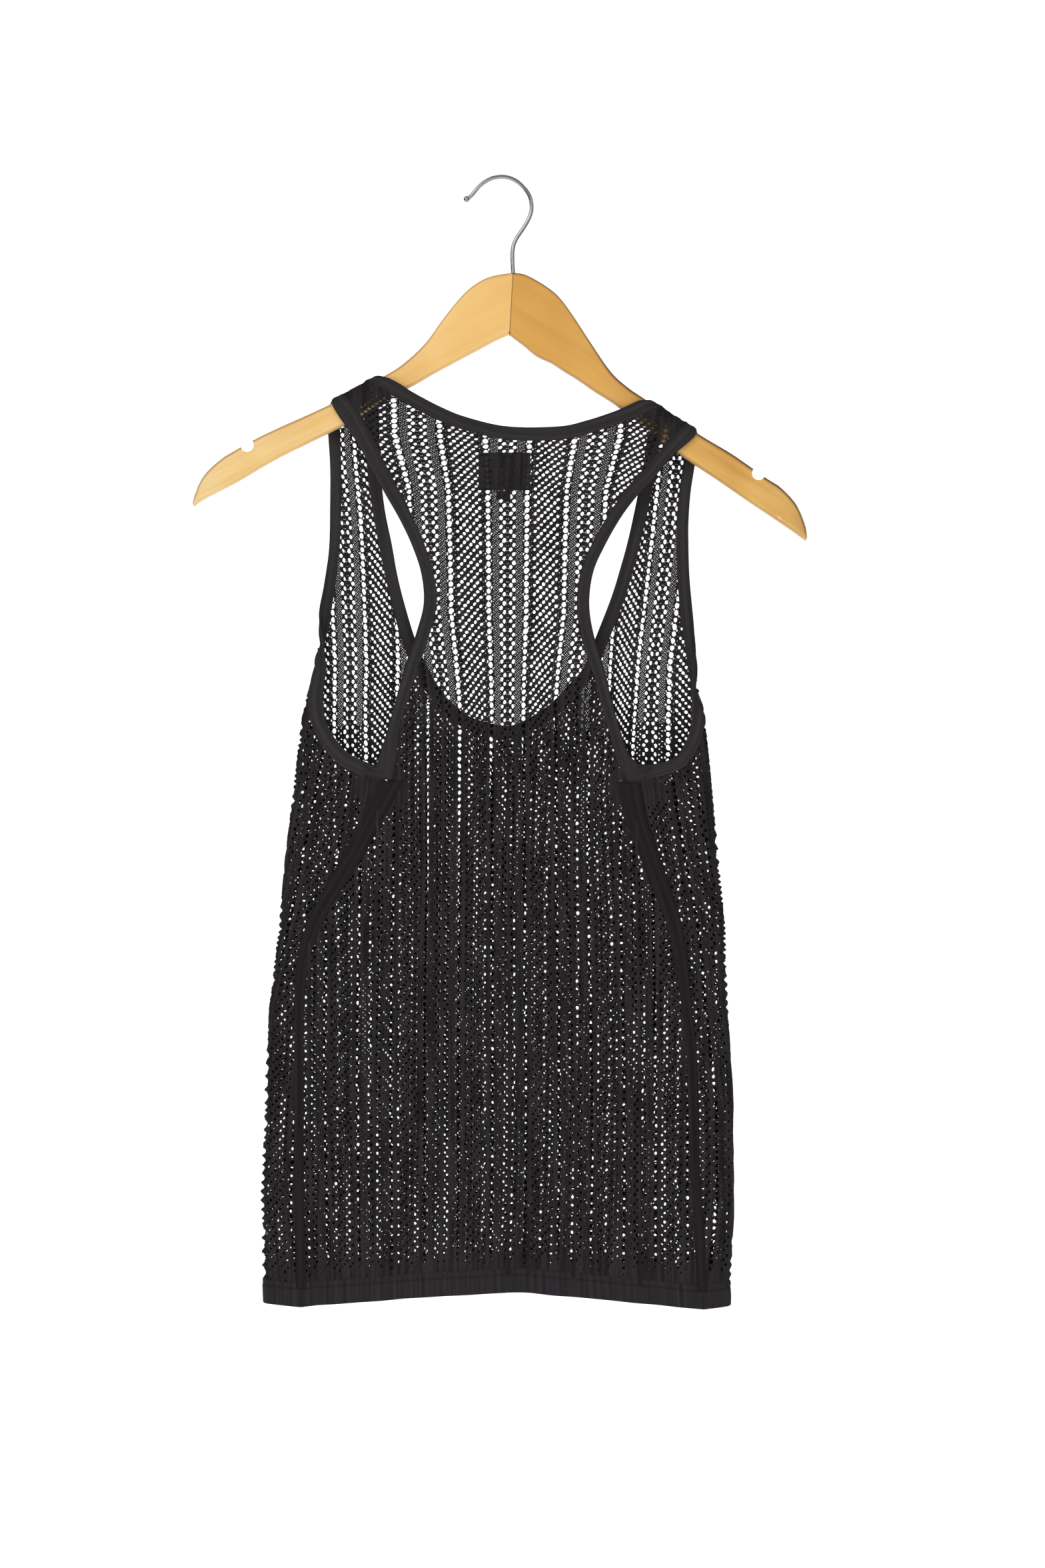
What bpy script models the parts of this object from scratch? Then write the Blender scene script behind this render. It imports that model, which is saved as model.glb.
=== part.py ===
"""A knitted openwork racerback tank top, hung by its straps on a wooden hanger.

Sizes are millimetres and are turned into metres when a mesh is made. X runs across the hanger, Z is up and -Y is
the side the back panel is on. The origin is the highest point inside the hook, where the rail carries it.

The cloth is worked out from one surface, a flattened tube. A place on it is (q, z, side): q runs across and z runs
up the cloth as if it were unrolled over the shoulders, and q beyond a side fold has gone round to the other face.
"""

import math

import bmesh
import bpy
import numpy as np
from mathutils import Vector

MM = 0.001
NEAR, FAR = -1, 1

# Cloth
CENTRE = 4.6  # the middle wale of both panels
STEP = 7.87  # a sixth of the 47 mm pattern repeat, so every other column is a rib
WALL = 1.6
RIB = 0.45
BAND = 2.4
HEM = 2.2
GAP = 0.3
ROUND = 2.6  # how square the tube's section is
SEAM_GAP = 0.15
FOLD_EASE = 2.5
HANGER_Z, LOOSE_Z = -208.0, -318.0  # above the first the panels lie on the hanger's two faces

# Shoulder lines over the hanger: a place on the line, and its slope
SHOULDER_R = 8.1
SHOULDERS = ((-89.2, -142.4, 0.547), (108.0, -160.3, -0.650))

# The tube: height, left fold, right fold, half depth
SIDES = (
    (-141.0, -126.3, 148.5, 8.1),
    (-184.4, -125.8, 143.6, 8.1),
    (-208.5, -124.4, 139.8, 8.1),
    (-256.7, -124.8, 135.9, 8.4),
    (-304.9, -128.7, 137.9, 9.0),
    (-336.2, -132.5, 139.8, 9.5),
    (-354.5, -135.0, 141.2, 10.0),
    (-372.3, -139.8, 143.2, 10.5),
    (-391.6, -144.6, 147.5, 11.0),
    (-425.4, -148.5, 150.9, 12.0),
    (-473.6, -154.2, 155.7, 13.0),
    (-545.9, -161.5, 162.4, 14.0),
    (-598.9, -167.7, 163.9, 14.5),
    (-671.2, -171.6, 167.7, 15.0),
    (-738.7, -174.0, 168.2, 15.0),
    (-816.7, -171.6, 165.3, 14.0),
)

# Soft folds: side, top x and z, bottom x and z, half width, rise out of the tube
FOLDS = (
    (NEAR, 22.0, -520.0, 16.0, -830.0, 13.0, -3.0),
    (NEAR, -22.0, -500.0, -30.0, -830.0, 16.0, 2.4),
    (NEAR, -84.0, -470.0, -134.0, -640.0, 9.0, -2.6),
    (NEAR, 84.0, -540.0, 96.0, -830.0, 15.0, 2.2),
    (FAR, -60.0, -430.0, -74.0, -830.0, 20.0, 2.4),
    (FAR, 52.0, -480.0, 60.0, -830.0, 18.0, -2.6),
)

# Sections across each strap, from the armhole to the neck: edge of the armhole band, its seam, the neck band's
# seam and the neck band's edge. Below the straps the back has the two armhole pairs about its centre height.
BACK_LEFT = (
    ((-126.3, -157.4), (-117.6, -152.7), (-97.8, -141.9), (-89.2, -137.2)),
    ((-123.9, -161.7), (-114.2, -156.4), (-94.5, -145.3), (-87.2, -139.3)),
    ((-121.0, -166.5), (-108.9, -161.2), (-89.2, -151.1), (-82.9, -143.9)),
    ((-116.2, -174.2), (-103.1, -168.9), (-79.0, -157.4), (-73.3, -149.2)),
    ((-110.4, -182.4), (-98.3, -177.1), (-68.9, -163.6), (-63.6, -155.4)),
    ((-103.6, -192.6), (-92.5, -188.2), (-48.7, -174.2), (-44.3, -165.6)),
    ((-97.4, -203.6), (-86.8, -199.8), (-28.0, -182.4), (-25.1, -173.3)),
    ((-90.6, -216.2), (-80.5, -212.8), (CENTRE, -189.7), (CENTRE, -180.0)),
)
BACK_RIGHT = (
    ((145.1, -178.9), (135.9, -172.9), (117.1, -160.7), (108.0, -154.8)),
    ((142.2, -183.9), (132.1, -178.1), (112.3, -164.6), (105.1, -156.9)),
    ((138.3, -188.7), (128.2, -182.9), (106.5, -168.7), (100.7, -160.3)),
    ((132.5, -193.8), (123.9, -187.5), (95.4, -174.0), (91.1, -165.1)),
    ((125.3, -200.0), (118.1, -193.5), (84.8, -178.1), (81.0, -169.4)),
    ((118.1, -207.5), (110.9, -201.2), (65.1, -184.8), (61.7, -175.7)),
    ((111.3, -216.2), (104.1, -209.9), (43.9, -189.7), (41.5, -180.0)),
    ((104.1, -223.9), (96.4, -217.6), (CENTRE, -189.7), (CENTRE, -180.0)),
)
BACK_UNDER = (
    ((-82.9, -230.2), (-72.8, -227.3), -213.3, (87.7, -228.2), (95.4, -233.5)),
    ((-73.3, -247.0), (-63.6, -245.6), -238.3, (77.6, -243.2), (85.3, -247.5)),
    ((-64.6, -265.3), (-55.4, -264.4), -262.4, (66.0, -263.4), (74.7, -266.3)),
    ((-57.8, -285.6), (-48.7, -285.6), -285.6, (57.4, -284.1), (66.5, -285.1)),
    ((-55.9, -307.3), (-46.3, -307.3), -307.3, (54.5, -308.2), (63.6, -307.3)),
    ((-61.2, -329.0), (-51.6, -330.4), -330.4, (57.4, -331.4), (66.5, -329.0)),
    ((-69.4, -353.1), (-60.2, -355.5), -355.5, (65.6, -356.4), (73.7, -353.1)),
    ((-76.2, -378.1), (-68.0, -380.1), -380.1, (72.3, -381.0), (80.0, -378.1)),
    ((-82.4, -400.3), (-73.7, -401.3), -401.3, (78.6, -403.2), (86.3, -400.3)),
    ((-87.2, -415.7), (-75.2, -419.6), -419.6, (83.9, -421.5), (92.1, -416.2)),
    ((-90.1, -424.4), (-79.0, -435.5), -435.5, (91.6, -436.9), (98.8, -423.4)),
)
FRONT_LEFT = (
    ((-126.3, -157.4), (-117.6, -152.7), (-97.8, -141.9), (-89.2, -137.2)),
    ((-126.3, -163.2), (-117.6, -159.3), (-97.8, -149.2), (-89.2, -145.3)),
    ((-126.3, -170.9), (-117.6, -167.5), (-97.8, -158.8), (-89.2, -156.4)),
    ((-125.8, -184.4), (-117.1, -182.0), (-97.8, -179.5), (-88.7, -178.1)),
    ((-124.4, -208.5), (-116.2, -208.0), (-97.4, -209.4), (-87.7, -208.5)),
    ((-124.4, -237.4), (-116.2, -237.4), (-93.5, -239.8), (-84.8, -237.4)),
    ((-124.8, -263.9), (-117.1, -263.9), (-88.7, -266.3), (-79.5, -263.9)),
    ((-127.2, -286.5), (-119.5, -286.5), (-84.3, -287.5), (-75.7, -285.1)),
    ((-131.1, -307.3), (-122.4, -307.8), (-79.5, -307.8), (-70.9, -304.9)),
    ((-137.4, -336.2), (-128.2, -337.2), (-71.8, -335.7), (-62.7, -332.3)),
    ((-144.6, -356.0), (-135.0, -358.4), (-62.7, -356.4), (-54.0, -352.1)),
    ((-151.8, -373.3), (-142.7, -377.6), (-52.1, -374.8), (-44.3, -369.0)),
    ((-158.1, -384.9), (-149.9, -390.2), (-40.0, -388.3), (-33.7, -381.0)),
    ((-164.4, -394.5), (-157.1, -400.8), (-23.6, -398.9), (-19.8, -390.2)),
    ((-172.1, -404.6), (-165.8, -411.9), (CENTRE, -405.1), (CENTRE, -395.5)),
)
FRONT_RIGHT = (
    ((145.1, -178.9), (135.9, -172.9), (117.1, -160.7), (108.0, -154.8)),
    ((144.1, -185.3), (135.0, -180.5), (117.1, -168.0), (108.0, -163.2)),
    ((142.7, -195.0), (134.0, -190.1), (116.2, -179.5), (107.0, -175.7)),
    ((140.3, -208.5), (132.1, -205.6), (114.2, -195.0), (105.1, -192.6)),
    ((137.4, -227.7), (129.2, -225.8), (111.8, -211.4), (102.7, -209.4)),
    ((135.9, -249.4), (127.2, -248.0), (106.5, -239.8), (97.4, -236.4)),
    ((135.9, -268.7), (127.2, -267.8), (100.7, -263.9), (92.1, -260.5)),
    ((136.4, -286.5), (127.7, -286.5), (95.0, -286.1), (86.3, -281.7)),
    ((137.9, -307.3), (129.2, -307.3), (88.2, -307.8), (79.5, -303.4)),
    ((140.7, -336.2), (133.0, -336.7), (76.6, -337.2), (68.0, -332.8)),
    ((144.6, -356.0), (135.9, -357.9), (68.0, -357.9), (59.8, -353.1)),
    ((149.9, -374.3), (140.7, -377.6), (54.0, -374.8), (46.8, -368.0)),
    ((156.2, -387.8), (147.5, -392.6), (41.5, -387.3), (35.7, -379.6)),
    ((162.0, -402.2), (154.7, -408.0), (24.6, -398.4), (21.2, -389.2)),
    ((171.1, -415.2), (166.3, -423.0), (CENTRE, -405.1), (CENTRE, -395.5)),
)
FRONT_UNDER = (
    ((-184.1, -415.2), (-179.8, -423.9), -420.5, (179.8, -430.2), (182.2, -421.5)),
    ((-198.6, -422.0), (-196.7, -431.6), -430.2, (193.8, -433.6), (193.8, -423.9)),
)
FRONT_CORNER_Z = -438.5

# Side seams, which lie on the back: left x and z, centre z, right x and z. The last two rows are the hem band.
SEAMS = (
    (-92.5, -461.5, -461.5, 96.9, -461.5),
    (-105.6, -487.5, -487.5, 106.0, -487.5),
    (-120.0, -512.1, -512.1, 115.2, -512.1),
    (-133.5, -536.2, -535.3, 123.9, -536.2),
    (-141.7, -560.3, -558.9, 128.7, -560.3),
    (-145.1, -589.2, -586.8, 132.5, -589.2),
    (-145.6, -623.0, -619.1, 136.4, -623.0),
    (-145.6, -661.5, -656.2, 137.9, -661.5),
    (-145.6, -704.9, -697.7, 139.3, -704.9),
    (-145.1, -753.1, -744.4, 142.2, -753.1),
    (-144.1, -801.8, -790.7, 145.1, -803.7),
    (-144.1, -814.8, -803.7, 146.0, -816.7),
)

# Label and size tab inside the back neck: left, right, top, bottom
LABEL = (-16.4, 21.2, -198.8, -226.0)
TAB = (-3.4, 6.7, -226.4, -232.4)
LABEL_WALL = 0.8

# Hanger arms, a row per section: top x and z, bottom x and z, half thickness
ARM_LEFT = (
    (8.5, -68.2, 6.0, -112.8, 6.0),
    (-5.8, -70.6, -3.4, -116.9, 6.0),
    (-15.4, -74.5, -10.6, -120.7, 6.0),
    (-25.1, -81.7, -17.8, -124.6, 6.0),
    (-34.7, -92.3, -27.0, -129.4, 6.0),
    (-44.3, -104.8, -38.6, -135.7, 5.8),
    (-54.0, -119.3, -49.2, -141.5, 5.5),
    (-67.5, -131.3, -59.8, -147.7, 5.3),
    (-82.9, -141.9, -74.7, -155.9, 5.3),
    (-124.4, -163.7, -115.7, -179.5, 5.3),
    (-150.4, -175.7, -141.7, -192.6, 5.3),
    (-169.7, -184.4, -161.0, -202.2, 5.3),
    (-179.3, -189.7, -173.5, -209.9, 5.3),
    (-193.8, -197.4, -185.1, -216.2, 5.3),
    (-203.4, -203.6, -196.2, -222.4, 5.2),
    (-213.0, -212.3, -205.8, -227.3, 5.1),
    (-218.8, -221.0, -214.0, -231.6, 4.8),
    (-222.2, -230.2, -219.3, -235.0, 4.2),
    (-223.2, -235.0, -222.2, -237.4, 3.6),
)
ARM_RIGHT = (
    (8.7, -68.2, 6.2, -113.5, 6.0),
    (18.3, -70.1, 15.9, -120.7, 6.0),
    (32.8, -78.3, 25.5, -128.5, 6.0),
    (42.4, -86.5, 36.6, -133.8, 6.0),
    (52.1, -99.5, 45.3, -139.5, 6.0),
    (64.1, -117.8, 55.4, -145.8, 5.8),
    (79.0, -141.0, 68.0, -154.5, 5.5),
    (90.6, -149.7, 81.0, -162.7, 5.3),
    (103.6, -159.3, 93.5, -172.3, 5.3),
    (143.6, -185.3, 133.0, -202.2, 5.3),
    (158.1, -194.0, 147.5, -212.3, 5.3),
    (167.7, -199.8, 157.1, -218.6, 5.3),
    (182.2, -209.9, 170.6, -227.7, 5.3),
    (191.8, -216.7, 182.2, -235.9, 5.3),
    (201.5, -222.9, 191.8, -242.2, 5.2),
    (211.1, -232.6, 202.4, -249.4, 5.2),
    (215.9, -240.3, 210.2, -254.7, 4.8),
    (220.3, -251.8, 216.9, -259.6, 4.2),
    (221.2, -259.6, 220.3, -262.0, 3.6),
)
ARM_CORNER = 4.4
ARM_CORNER_POINTS = 4
MITRE_GAP = 0.1
NOTCHES = ((-183.6, -193.2), (186.0, -213.6))
NOTCH_R = 4.8

# Hook: its wire, ball tip and middle line from the tip to the wood
WIRE_R = 1.55
BALL_R = 1.95
HOOK_SIDES = 12
HOOK = (
    (-25.1, -14.7), (-22.2, -12.8), (-19.3, -9.4), (-16.4, -6.0), (-12.5, -2.7), (-7.5, 0.1), (-3.2, 1.2),
    (1.4, 1.5), (6.3, 0.6), (11.1, -1.7), (15.1, -5.1), (18.5, -9.0), (20.9, -13.4), (21.9, -18.1),
    (21.8, -22.9), (20.4, -27.8), (17.8, -32.8), (14.9, -37.4), (12.0, -41.6), (9.8, -45.6), (8.5, -49.9),
    (8.1, -54.6), (8.2, -61.5), (8.5, -68.2), (8.1, -79.0),
)
HOOK_HOLE_R = 1.85
HOOK_HOLE_Z = -80.0

# Colours: base colour, roughness, metallic
KNIT = (0.022, 0.020, 0.021), 0.9, 0.0
KNIT_BAND = (0.017, 0.016, 0.017), 0.9, 0.0
LABEL_CLOTH = (0.03, 0.03, 0.03), 0.8, 0.0
WOOD_LEFT = (0.86, 0.57, 0.22), 0.35, 0.0
WOOD_RIGHT = (0.74, 0.45, 0.17), 0.35, 0.0
CHROME = (0.62, 0.62, 0.62), 0.2, 1.0

for old in list(bpy.data.objects):
    bpy.data.objects.remove(old)
group = bpy.data.collections.new("Tank top on hanger")
bpy.context.scene.collection.children.link(group)


def add_object(name, mesh, look):
    """Turns a millimetre bmesh into a metre object with a material of its own."""
    bmesh.ops.scale(mesh, vec=(MM, MM, MM), verts=mesh.verts)
    bmesh.ops.recalc_face_normals(mesh, faces=mesh.faces)
    data = bpy.data.meshes.new(name)
    mesh.to_mesh(data)
    mesh.free()
    colour, rough, metal = look
    material = bpy.data.materials.new(name)
    material.use_nodes = True
    shader = material.node_tree.nodes["Principled BSDF"]
    shader.inputs["Base Color"].default_value = (*colour, 1.0)
    shader.inputs["Roughness"].default_value = rough
    shader.inputs["Metallic"].default_value = metal
    data.materials.append(material)
    made = bpy.data.objects.new(name, data)
    group.objects.link(made)
    return made


def ease(x, start, end):
    """0 before start, 1 after end and a smooth climb between."""
    t = min(max((x - start) / (end - start), 0.0), 1.0)
    return t * t * (3 - 2 * t)


def side_folds(z):
    """The left fold, the right fold and the half depth of the tube at a height."""
    table = np.array(SIDES[::-1])
    return [float(np.interp(z, table[:, 0], table[:, k])) for k in (1, 2, 3)]


def tube(q, z, side):
    """The middle of the cloth at a place on the flattened tube."""
    left, right, depth = side_folds(z)
    if z < LOOSE_Z and q < left:
        q, side = 2 * left - q, -side
    elif z < LOOSE_Z and q > right:
        q, side = 2 * right - q, -side
    across = min(abs(2 * q - left - right) / (right - left), 1.0)
    loose = ease(z, HANGER_Z, LOOSE_Z)
    depth *= 1 - loose + loose * (1 - across**ROUND) ** (1 / ROUND)
    for fold_side, x0, z0, x1, z1, width, rise in FOLDS:
        along = min(max((z - z0) / (z1 - z0), 0.0), 1.0)
        off = (q - x0 - along * (x1 - x0)) / width
        if fold_side == side and across < 0.97:
            depth += rise * ease(z, z0 + 20, z0 - 60) * math.exp(-off * off)
    x0, z0, slope = SHOULDERS[0] if q < CENTRE else SHOULDERS[1]
    lean = math.hypot(1, slope)
    spring = z0 + slope * (q - x0) - SHOULDER_R * lean
    if z > spring:
        turn = (z - spring) / lean / SHOULDER_R
        z = spring + SHOULDER_R * math.sin(turn) * lean
        depth = SHOULDER_R * math.cos(turn)
    return Vector((q, side * depth, z))


def outward(q, z, side):
    """The cloth's outward direction, from the places beside it."""
    e = 0.6
    across = tube(q + e, z, side) - tube(q - e, z, side)
    up = tube(q, z + e, side) - tube(q, z - e, side)
    return -side * across.cross(up).normalized()


def smooth_rows(rows, parts):
    """Rows of numbers with more between them on a smooth curve: parts[i] steps in interval i."""
    table = np.array(rows, float)
    padded = np.vstack([2 * table[0] - table[1], table, 2 * table[-1] - table[-2]])
    out = []
    for i in range(len(table) - 1):
        a, b, c, d = padded[i : i + 4]
        for t in np.arange(parts[i]) / parts[i]:
            out.append(
                b
                + t * (c - a) / 2
                + t * t * (a - 2.5 * b + 2 * c - d / 2)
                + t**3 * (1.5 * (b - c) + (d - a) / 2)
            )
    out.append(table[-1])
    return out


def flat_row(row):
    """A section's numbers in one list."""
    return [number for part in row for number in (part if isinstance(part, tuple) else (part,))]


def clip_columns(columns, outer, inner):
    """One half of a panel's section: its wale columns, kept between the centre and the edge, with their heights."""
    low, high = sorted((outer[0], inner[0]))
    kept = [(inner[0], 0.0)]
    for q, rib in columns:
        at = min(max(q, low), high)
        if abs(at - outer[0]) < 0.3 * STEP:
            at = outer[0]
        if abs(at - inner[0]) < 0.3 * STEP:
            at = inner[0]
        kept.append((at, rib if at == q else 0.0))
    kept.append((outer[0], 0.0))
    rise = (outer[1] - inner[1]) / (outer[0] - inner[0])
    return [(q, inner[1] + rise * (q - inner[0]), rib) for q, rib in kept]


def wales(hand, z, fold=None):
    """Columns from the centre outward on one hand, with extra ones where the cloth turns a side fold."""
    flat = [(CENTRE + hand * k * STEP, RIB if k % 2 == 0 else 0.0) for k in range(20 if fold is None else 36)]
    if fold is None:
        return flat
    turn = [(fold - hand * FOLD_EASE, 0.0), (fold, 0.0), (fold + hand * FOLD_EASE, 0.0)]
    clear = FOLD_EASE + 1.8
    before = [(q, rib) if hand * (fold - q) > clear else turn[0] for q, rib in flat[:24]]
    after = [(q, rib) if hand * (q - fold) > clear else turn[2] for q, rib in flat[16:]]
    return before + turn + after


def wall(name, grids, side, thick, look, lift=0.0):
    """A closed wall about the tube's surface. Each grid is rows of (q, z, rib), and equal places are shared."""
    mesh = bmesh.new()
    places = {}

    def pair(q, z, rib):
        key = (round(q, 2), round(z, 2))
        if key not in places:
            middle, normal = tube(q, z, side), outward(q, z, side)
            outer = mesh.verts.new(middle + normal * (lift + thick / 2 + rib))
            inner = mesh.verts.new(middle + normal * (lift - thick / 2))
            places[key] = (outer, inner)
        return places[key]

    edges = {}
    for grid in grids:
        ladder = [[pair(*place) for place in row] for row in grid]
        for above, below in zip(ladder, ladder[1:]):
            for k in range(len(above) - 1):
                corners = []
                for corner in (above[k], above[k + 1], below[k + 1], below[k]):
                    if corner not in corners:
                        corners.append(corner)
                if len(corners) < 3:
                    continue
                mesh.faces.new([corner[0] for corner in corners])
                mesh.faces.new([corner[1] for corner in reversed(corners)])
                for a, b in zip(corners, corners[1:] + corners[:1]):
                    edges[(a, b)] = edges.get((a, b), 0) + 1
    for a, b in edges:
        shared = edges[(a, b)] + edges.get((b, a), 0)
        if shared == 1:
            mesh.faces.new((a[0], a[1], b[1], b[0]))
    return add_object(name, mesh, look)


def band(name, sections, thick, look, across=4):
    """A closed ring of cloth from its seam to its free edge; sections are (seam, edge, side)."""
    mesh = bmesh.new()
    rings = []
    for seam, edge, side in sections:
        width = math.hypot(edge[0] - seam[0], edge[1] - seam[1])
        outer, inner = [], []
        for k in range(across + 1):
            t = GAP / width + (1 - GAP / width) * k / across
            q, z = (seam[i] + t * (edge[i] - seam[i]) for i in (0, 1))
            middle, normal = tube(q, z, side), outward(q, z, side)
            outer.append(mesh.verts.new(middle + normal * thick / 2))
            inner.append(mesh.verts.new(middle - normal * thick / 2))
        rings.append(outer + inner[::-1])
    for a, b in zip(rings, rings[1:] + rings[:1]):
        for k in range(len(a)):
            mesh.faces.new((a[k], a[k - 1], b[k - 1], b[k]))
    return add_object(name, mesh, look)


# Sections, made finer where the cloth curves
strap_back = (3, 3, 2, 2, 1, 1, 1)
strap_front = (3, 3, 2, 1, 1, 1, 1, 1, 1, 2, 3, 2, 1, 1)
back_left = smooth_rows([flat_row(r) for r in BACK_LEFT], strap_back)
back_right = smooth_rows([flat_row(r) for r in BACK_RIGHT], strap_back)
front_left = smooth_rows([flat_row(r) for r in FRONT_LEFT], strap_front)
front_right = smooth_rows([flat_row(r) for r in FRONT_RIGHT], strap_front)
back_under = [flat_row(r) for r in BACK_UNDER]
front_under = [flat_row(r) for r in FRONT_UNDER]


def wrapped(x, z, hand):
    """The q of a place on the back that the front panel reaches round a side fold."""
    left, right, _ = side_folds(z)
    return 2 * (left if hand < 0 else right) - x


# Back panel: each strap, then the racerback between the armholes, then out to the side seams and down to the hem
halves = []
for hand, strap, under, seam in ((-1, back_left, (2, 3), (0, 1)), (1, back_right, (5, 6), (3, 4))):
    rows = []
    for row in strap:
        drop = SEAM_GAP if not rows else 0.0
        rows.append(clip_columns(wales(hand, row[3]), (row[2], row[3] - drop), (row[4], row[5] - drop)))
    for row in back_under:
        outer = (row[under[0]], row[under[1]])
        rows.append(clip_columns(wales(hand, row[4]), outer, (CENTRE, row[4])))
    for row in SEAMS[:-1]:
        outer = (row[seam[0]], row[seam[1]])
        rows.append(clip_columns(wales(hand, row[2]), outer, (CENTRE, row[2])))
    halves.append(rows)
wall("back_panel", halves, NEAR, WALL, KNIT)

# Front panel: behind the hanger, round both side folds and back to the same side seams
halves = []
for hand, strap, under, corner, seam in (
    (-1, front_left, (2, 3), (2, 3), (0, 1)),
    (1, front_right, (5, 6), (5, 6), (3, 4)),
):
    rows = []
    for row in strap:
        drop = SEAM_GAP if not rows else 0.0
        fold = side_folds(row[3])[0 if hand < 0 else 1]
        columns = wales(hand, row[3], fold)
        rows.append(clip_columns(columns, (row[2], row[3] - drop), (row[4], row[5] - drop)))
    for row in front_under:
        fold = side_folds(row[under[1]])[0 if hand < 0 else 1]
        rows.append(clip_columns(wales(hand, row[4], fold), (row[under[0]], row[under[1]]), (CENTRE, row[4])))
    edge = back_under[-1]
    lower = [(edge[corner[0]], edge[corner[1]], FRONT_CORNER_Z)]
    lower += [(row[seam[0]], row[seam[1]], row[2]) for row in SEAMS[:-1]]
    for x, z, middle in lower:
        fold = side_folds(z)[0 if hand < 0 else 1]
        outer = (wrapped(x, z, hand) - hand * GAP, z)
        rows.append(clip_columns(wales(hand, z, fold), outer, (CENTRE, middle)))
    halves.append(rows)
wall("front_panel", halves, FAR, WALL, KNIT)

# Neck band: one doubled strip round the back neck, over both shoulders and round the front scoop
ring = [((r[4], r[5]), (r[6], r[7]), NEAR) for r in back_left]
ring += [((r[4], r[5]), (r[6], r[7]), NEAR) for r in back_right[-2::-1]]
ring += [((r[4], r[5]), (r[6], r[7]), FAR) for r in front_right[1:]]
ring += [((r[4], r[5]), (r[6], r[7]), FAR) for r in front_left[-2:0:-1]]
band("neck_band", ring, BAND, KNIT_BAND, across=2)

# Armhole bands: down the racerback, through the underarm and up the front, over the shoulder
for name, hand, back, front, seam, edge in (
    ("armhole_band_left", -1, back_left, front_left, (2, 3), (0, 1)),
    ("armhole_band_right", 1, back_right, front_right, (5, 6), (7, 8)),
):
    ring = [((r[2], r[3]), (r[0], r[1]), NEAR) for r in back]
    ring += [((r[seam[0]], r[seam[1]]), (r[edge[0]], r[edge[1]]), NEAR) for r in back_under]
    ring += [((r[seam[0]], r[seam[1]]), (r[edge[0]], r[edge[1]]), FAR) for r in front_under[::-1]]
    ring += [((r[2], r[3]), (r[0], r[1]), FAR) for r in front[:0:-1]]
    band(name, ring, BAND, KNIT_BAND)

# Hem bands: one along the back between the side seams and one along the front and round both folds
top, bottom = SEAMS[-2], SEAMS[-1]
for name, side in (("hem_band_back", NEAR), ("hem_band_front", FAR)):
    halves = []
    for hand, at in ((-1, (0, 1)), (1, (3, 4))):
        rows = []
        for row, drop in ((top, GAP), (bottom, 0.0)):
            x, z = row[at[0]], row[at[1]] - drop
            fold = side_folds(z)[0 if hand < 0 else 1]
            outer = (x, z) if side == NEAR else (wrapped(x, z, hand) - hand * GAP, z)
            columns = wales(hand, z, None if side == NEAR else fold)
            plain = [(q, 0.0) for q, _ in columns]
            rows.append(clip_columns(plain, outer, (CENTRE, row[2] - drop)))
        halves.append(rows)
    wall(name, halves, side, HEM, KNIT_BAND)

# Label and size tab: blank cloth laid on the inside of the back, just off its inner face
for name, (left, right, upper, lower), columns in (("neck_label", LABEL, 4), ("size_tab", TAB, 2)):
    grid = []
    for z in np.linspace(upper, lower, columns):
        grid.append([(float(x), float(z), 0.0) for x in np.linspace(left, right, columns + 1)])
    wall(name, [grid], NEAR, LABEL_WALL, LABEL_CLOTH, lift=-(WALL / 2 + GAP + LABEL_WALL / 2))


def corner_ring(height, thick, corner):
    """A rounded rectangle round the Y axis: offsets along the section's height and along Y."""
    corner = min(corner, 0.95 * height, 0.95 * thick)
    out = []
    for k in range(4 * ARM_CORNER_POINTS):
        quarter = k // ARM_CORNER_POINTS
        turn = math.pi / 2 * (quarter + (k % ARM_CORNER_POINTS) / (ARM_CORNER_POINTS - 1))
        up = height - corner if quarter in (0, 3) else corner - height
        out_y = thick - corner if quarter in (0, 1) else corner - thick
        out.append((up + corner * math.cos(turn), out_y + corner * math.sin(turn)))
    return out


def cutter(name, radius, start, end):
    """A hidden cylinder between two places, for a Boolean."""
    mesh = bmesh.new()
    start, end = Vector(start), Vector(end)
    bmesh.ops.create_cone(
        mesh, cap_ends=True, segments=24, radius1=radius, radius2=radius, depth=(end - start).length
    )
    turn = (end - start).to_track_quat("Z", "Y").to_matrix()
    bmesh.ops.rotate(mesh, matrix=turn, verts=mesh.verts)
    bmesh.ops.translate(mesh, vec=(start + end) / 2, verts=mesh.verts)
    made = add_object(name, mesh, WOOD_LEFT)
    made.hide_render = True
    made.display_type = "WIRE"
    return made


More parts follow.
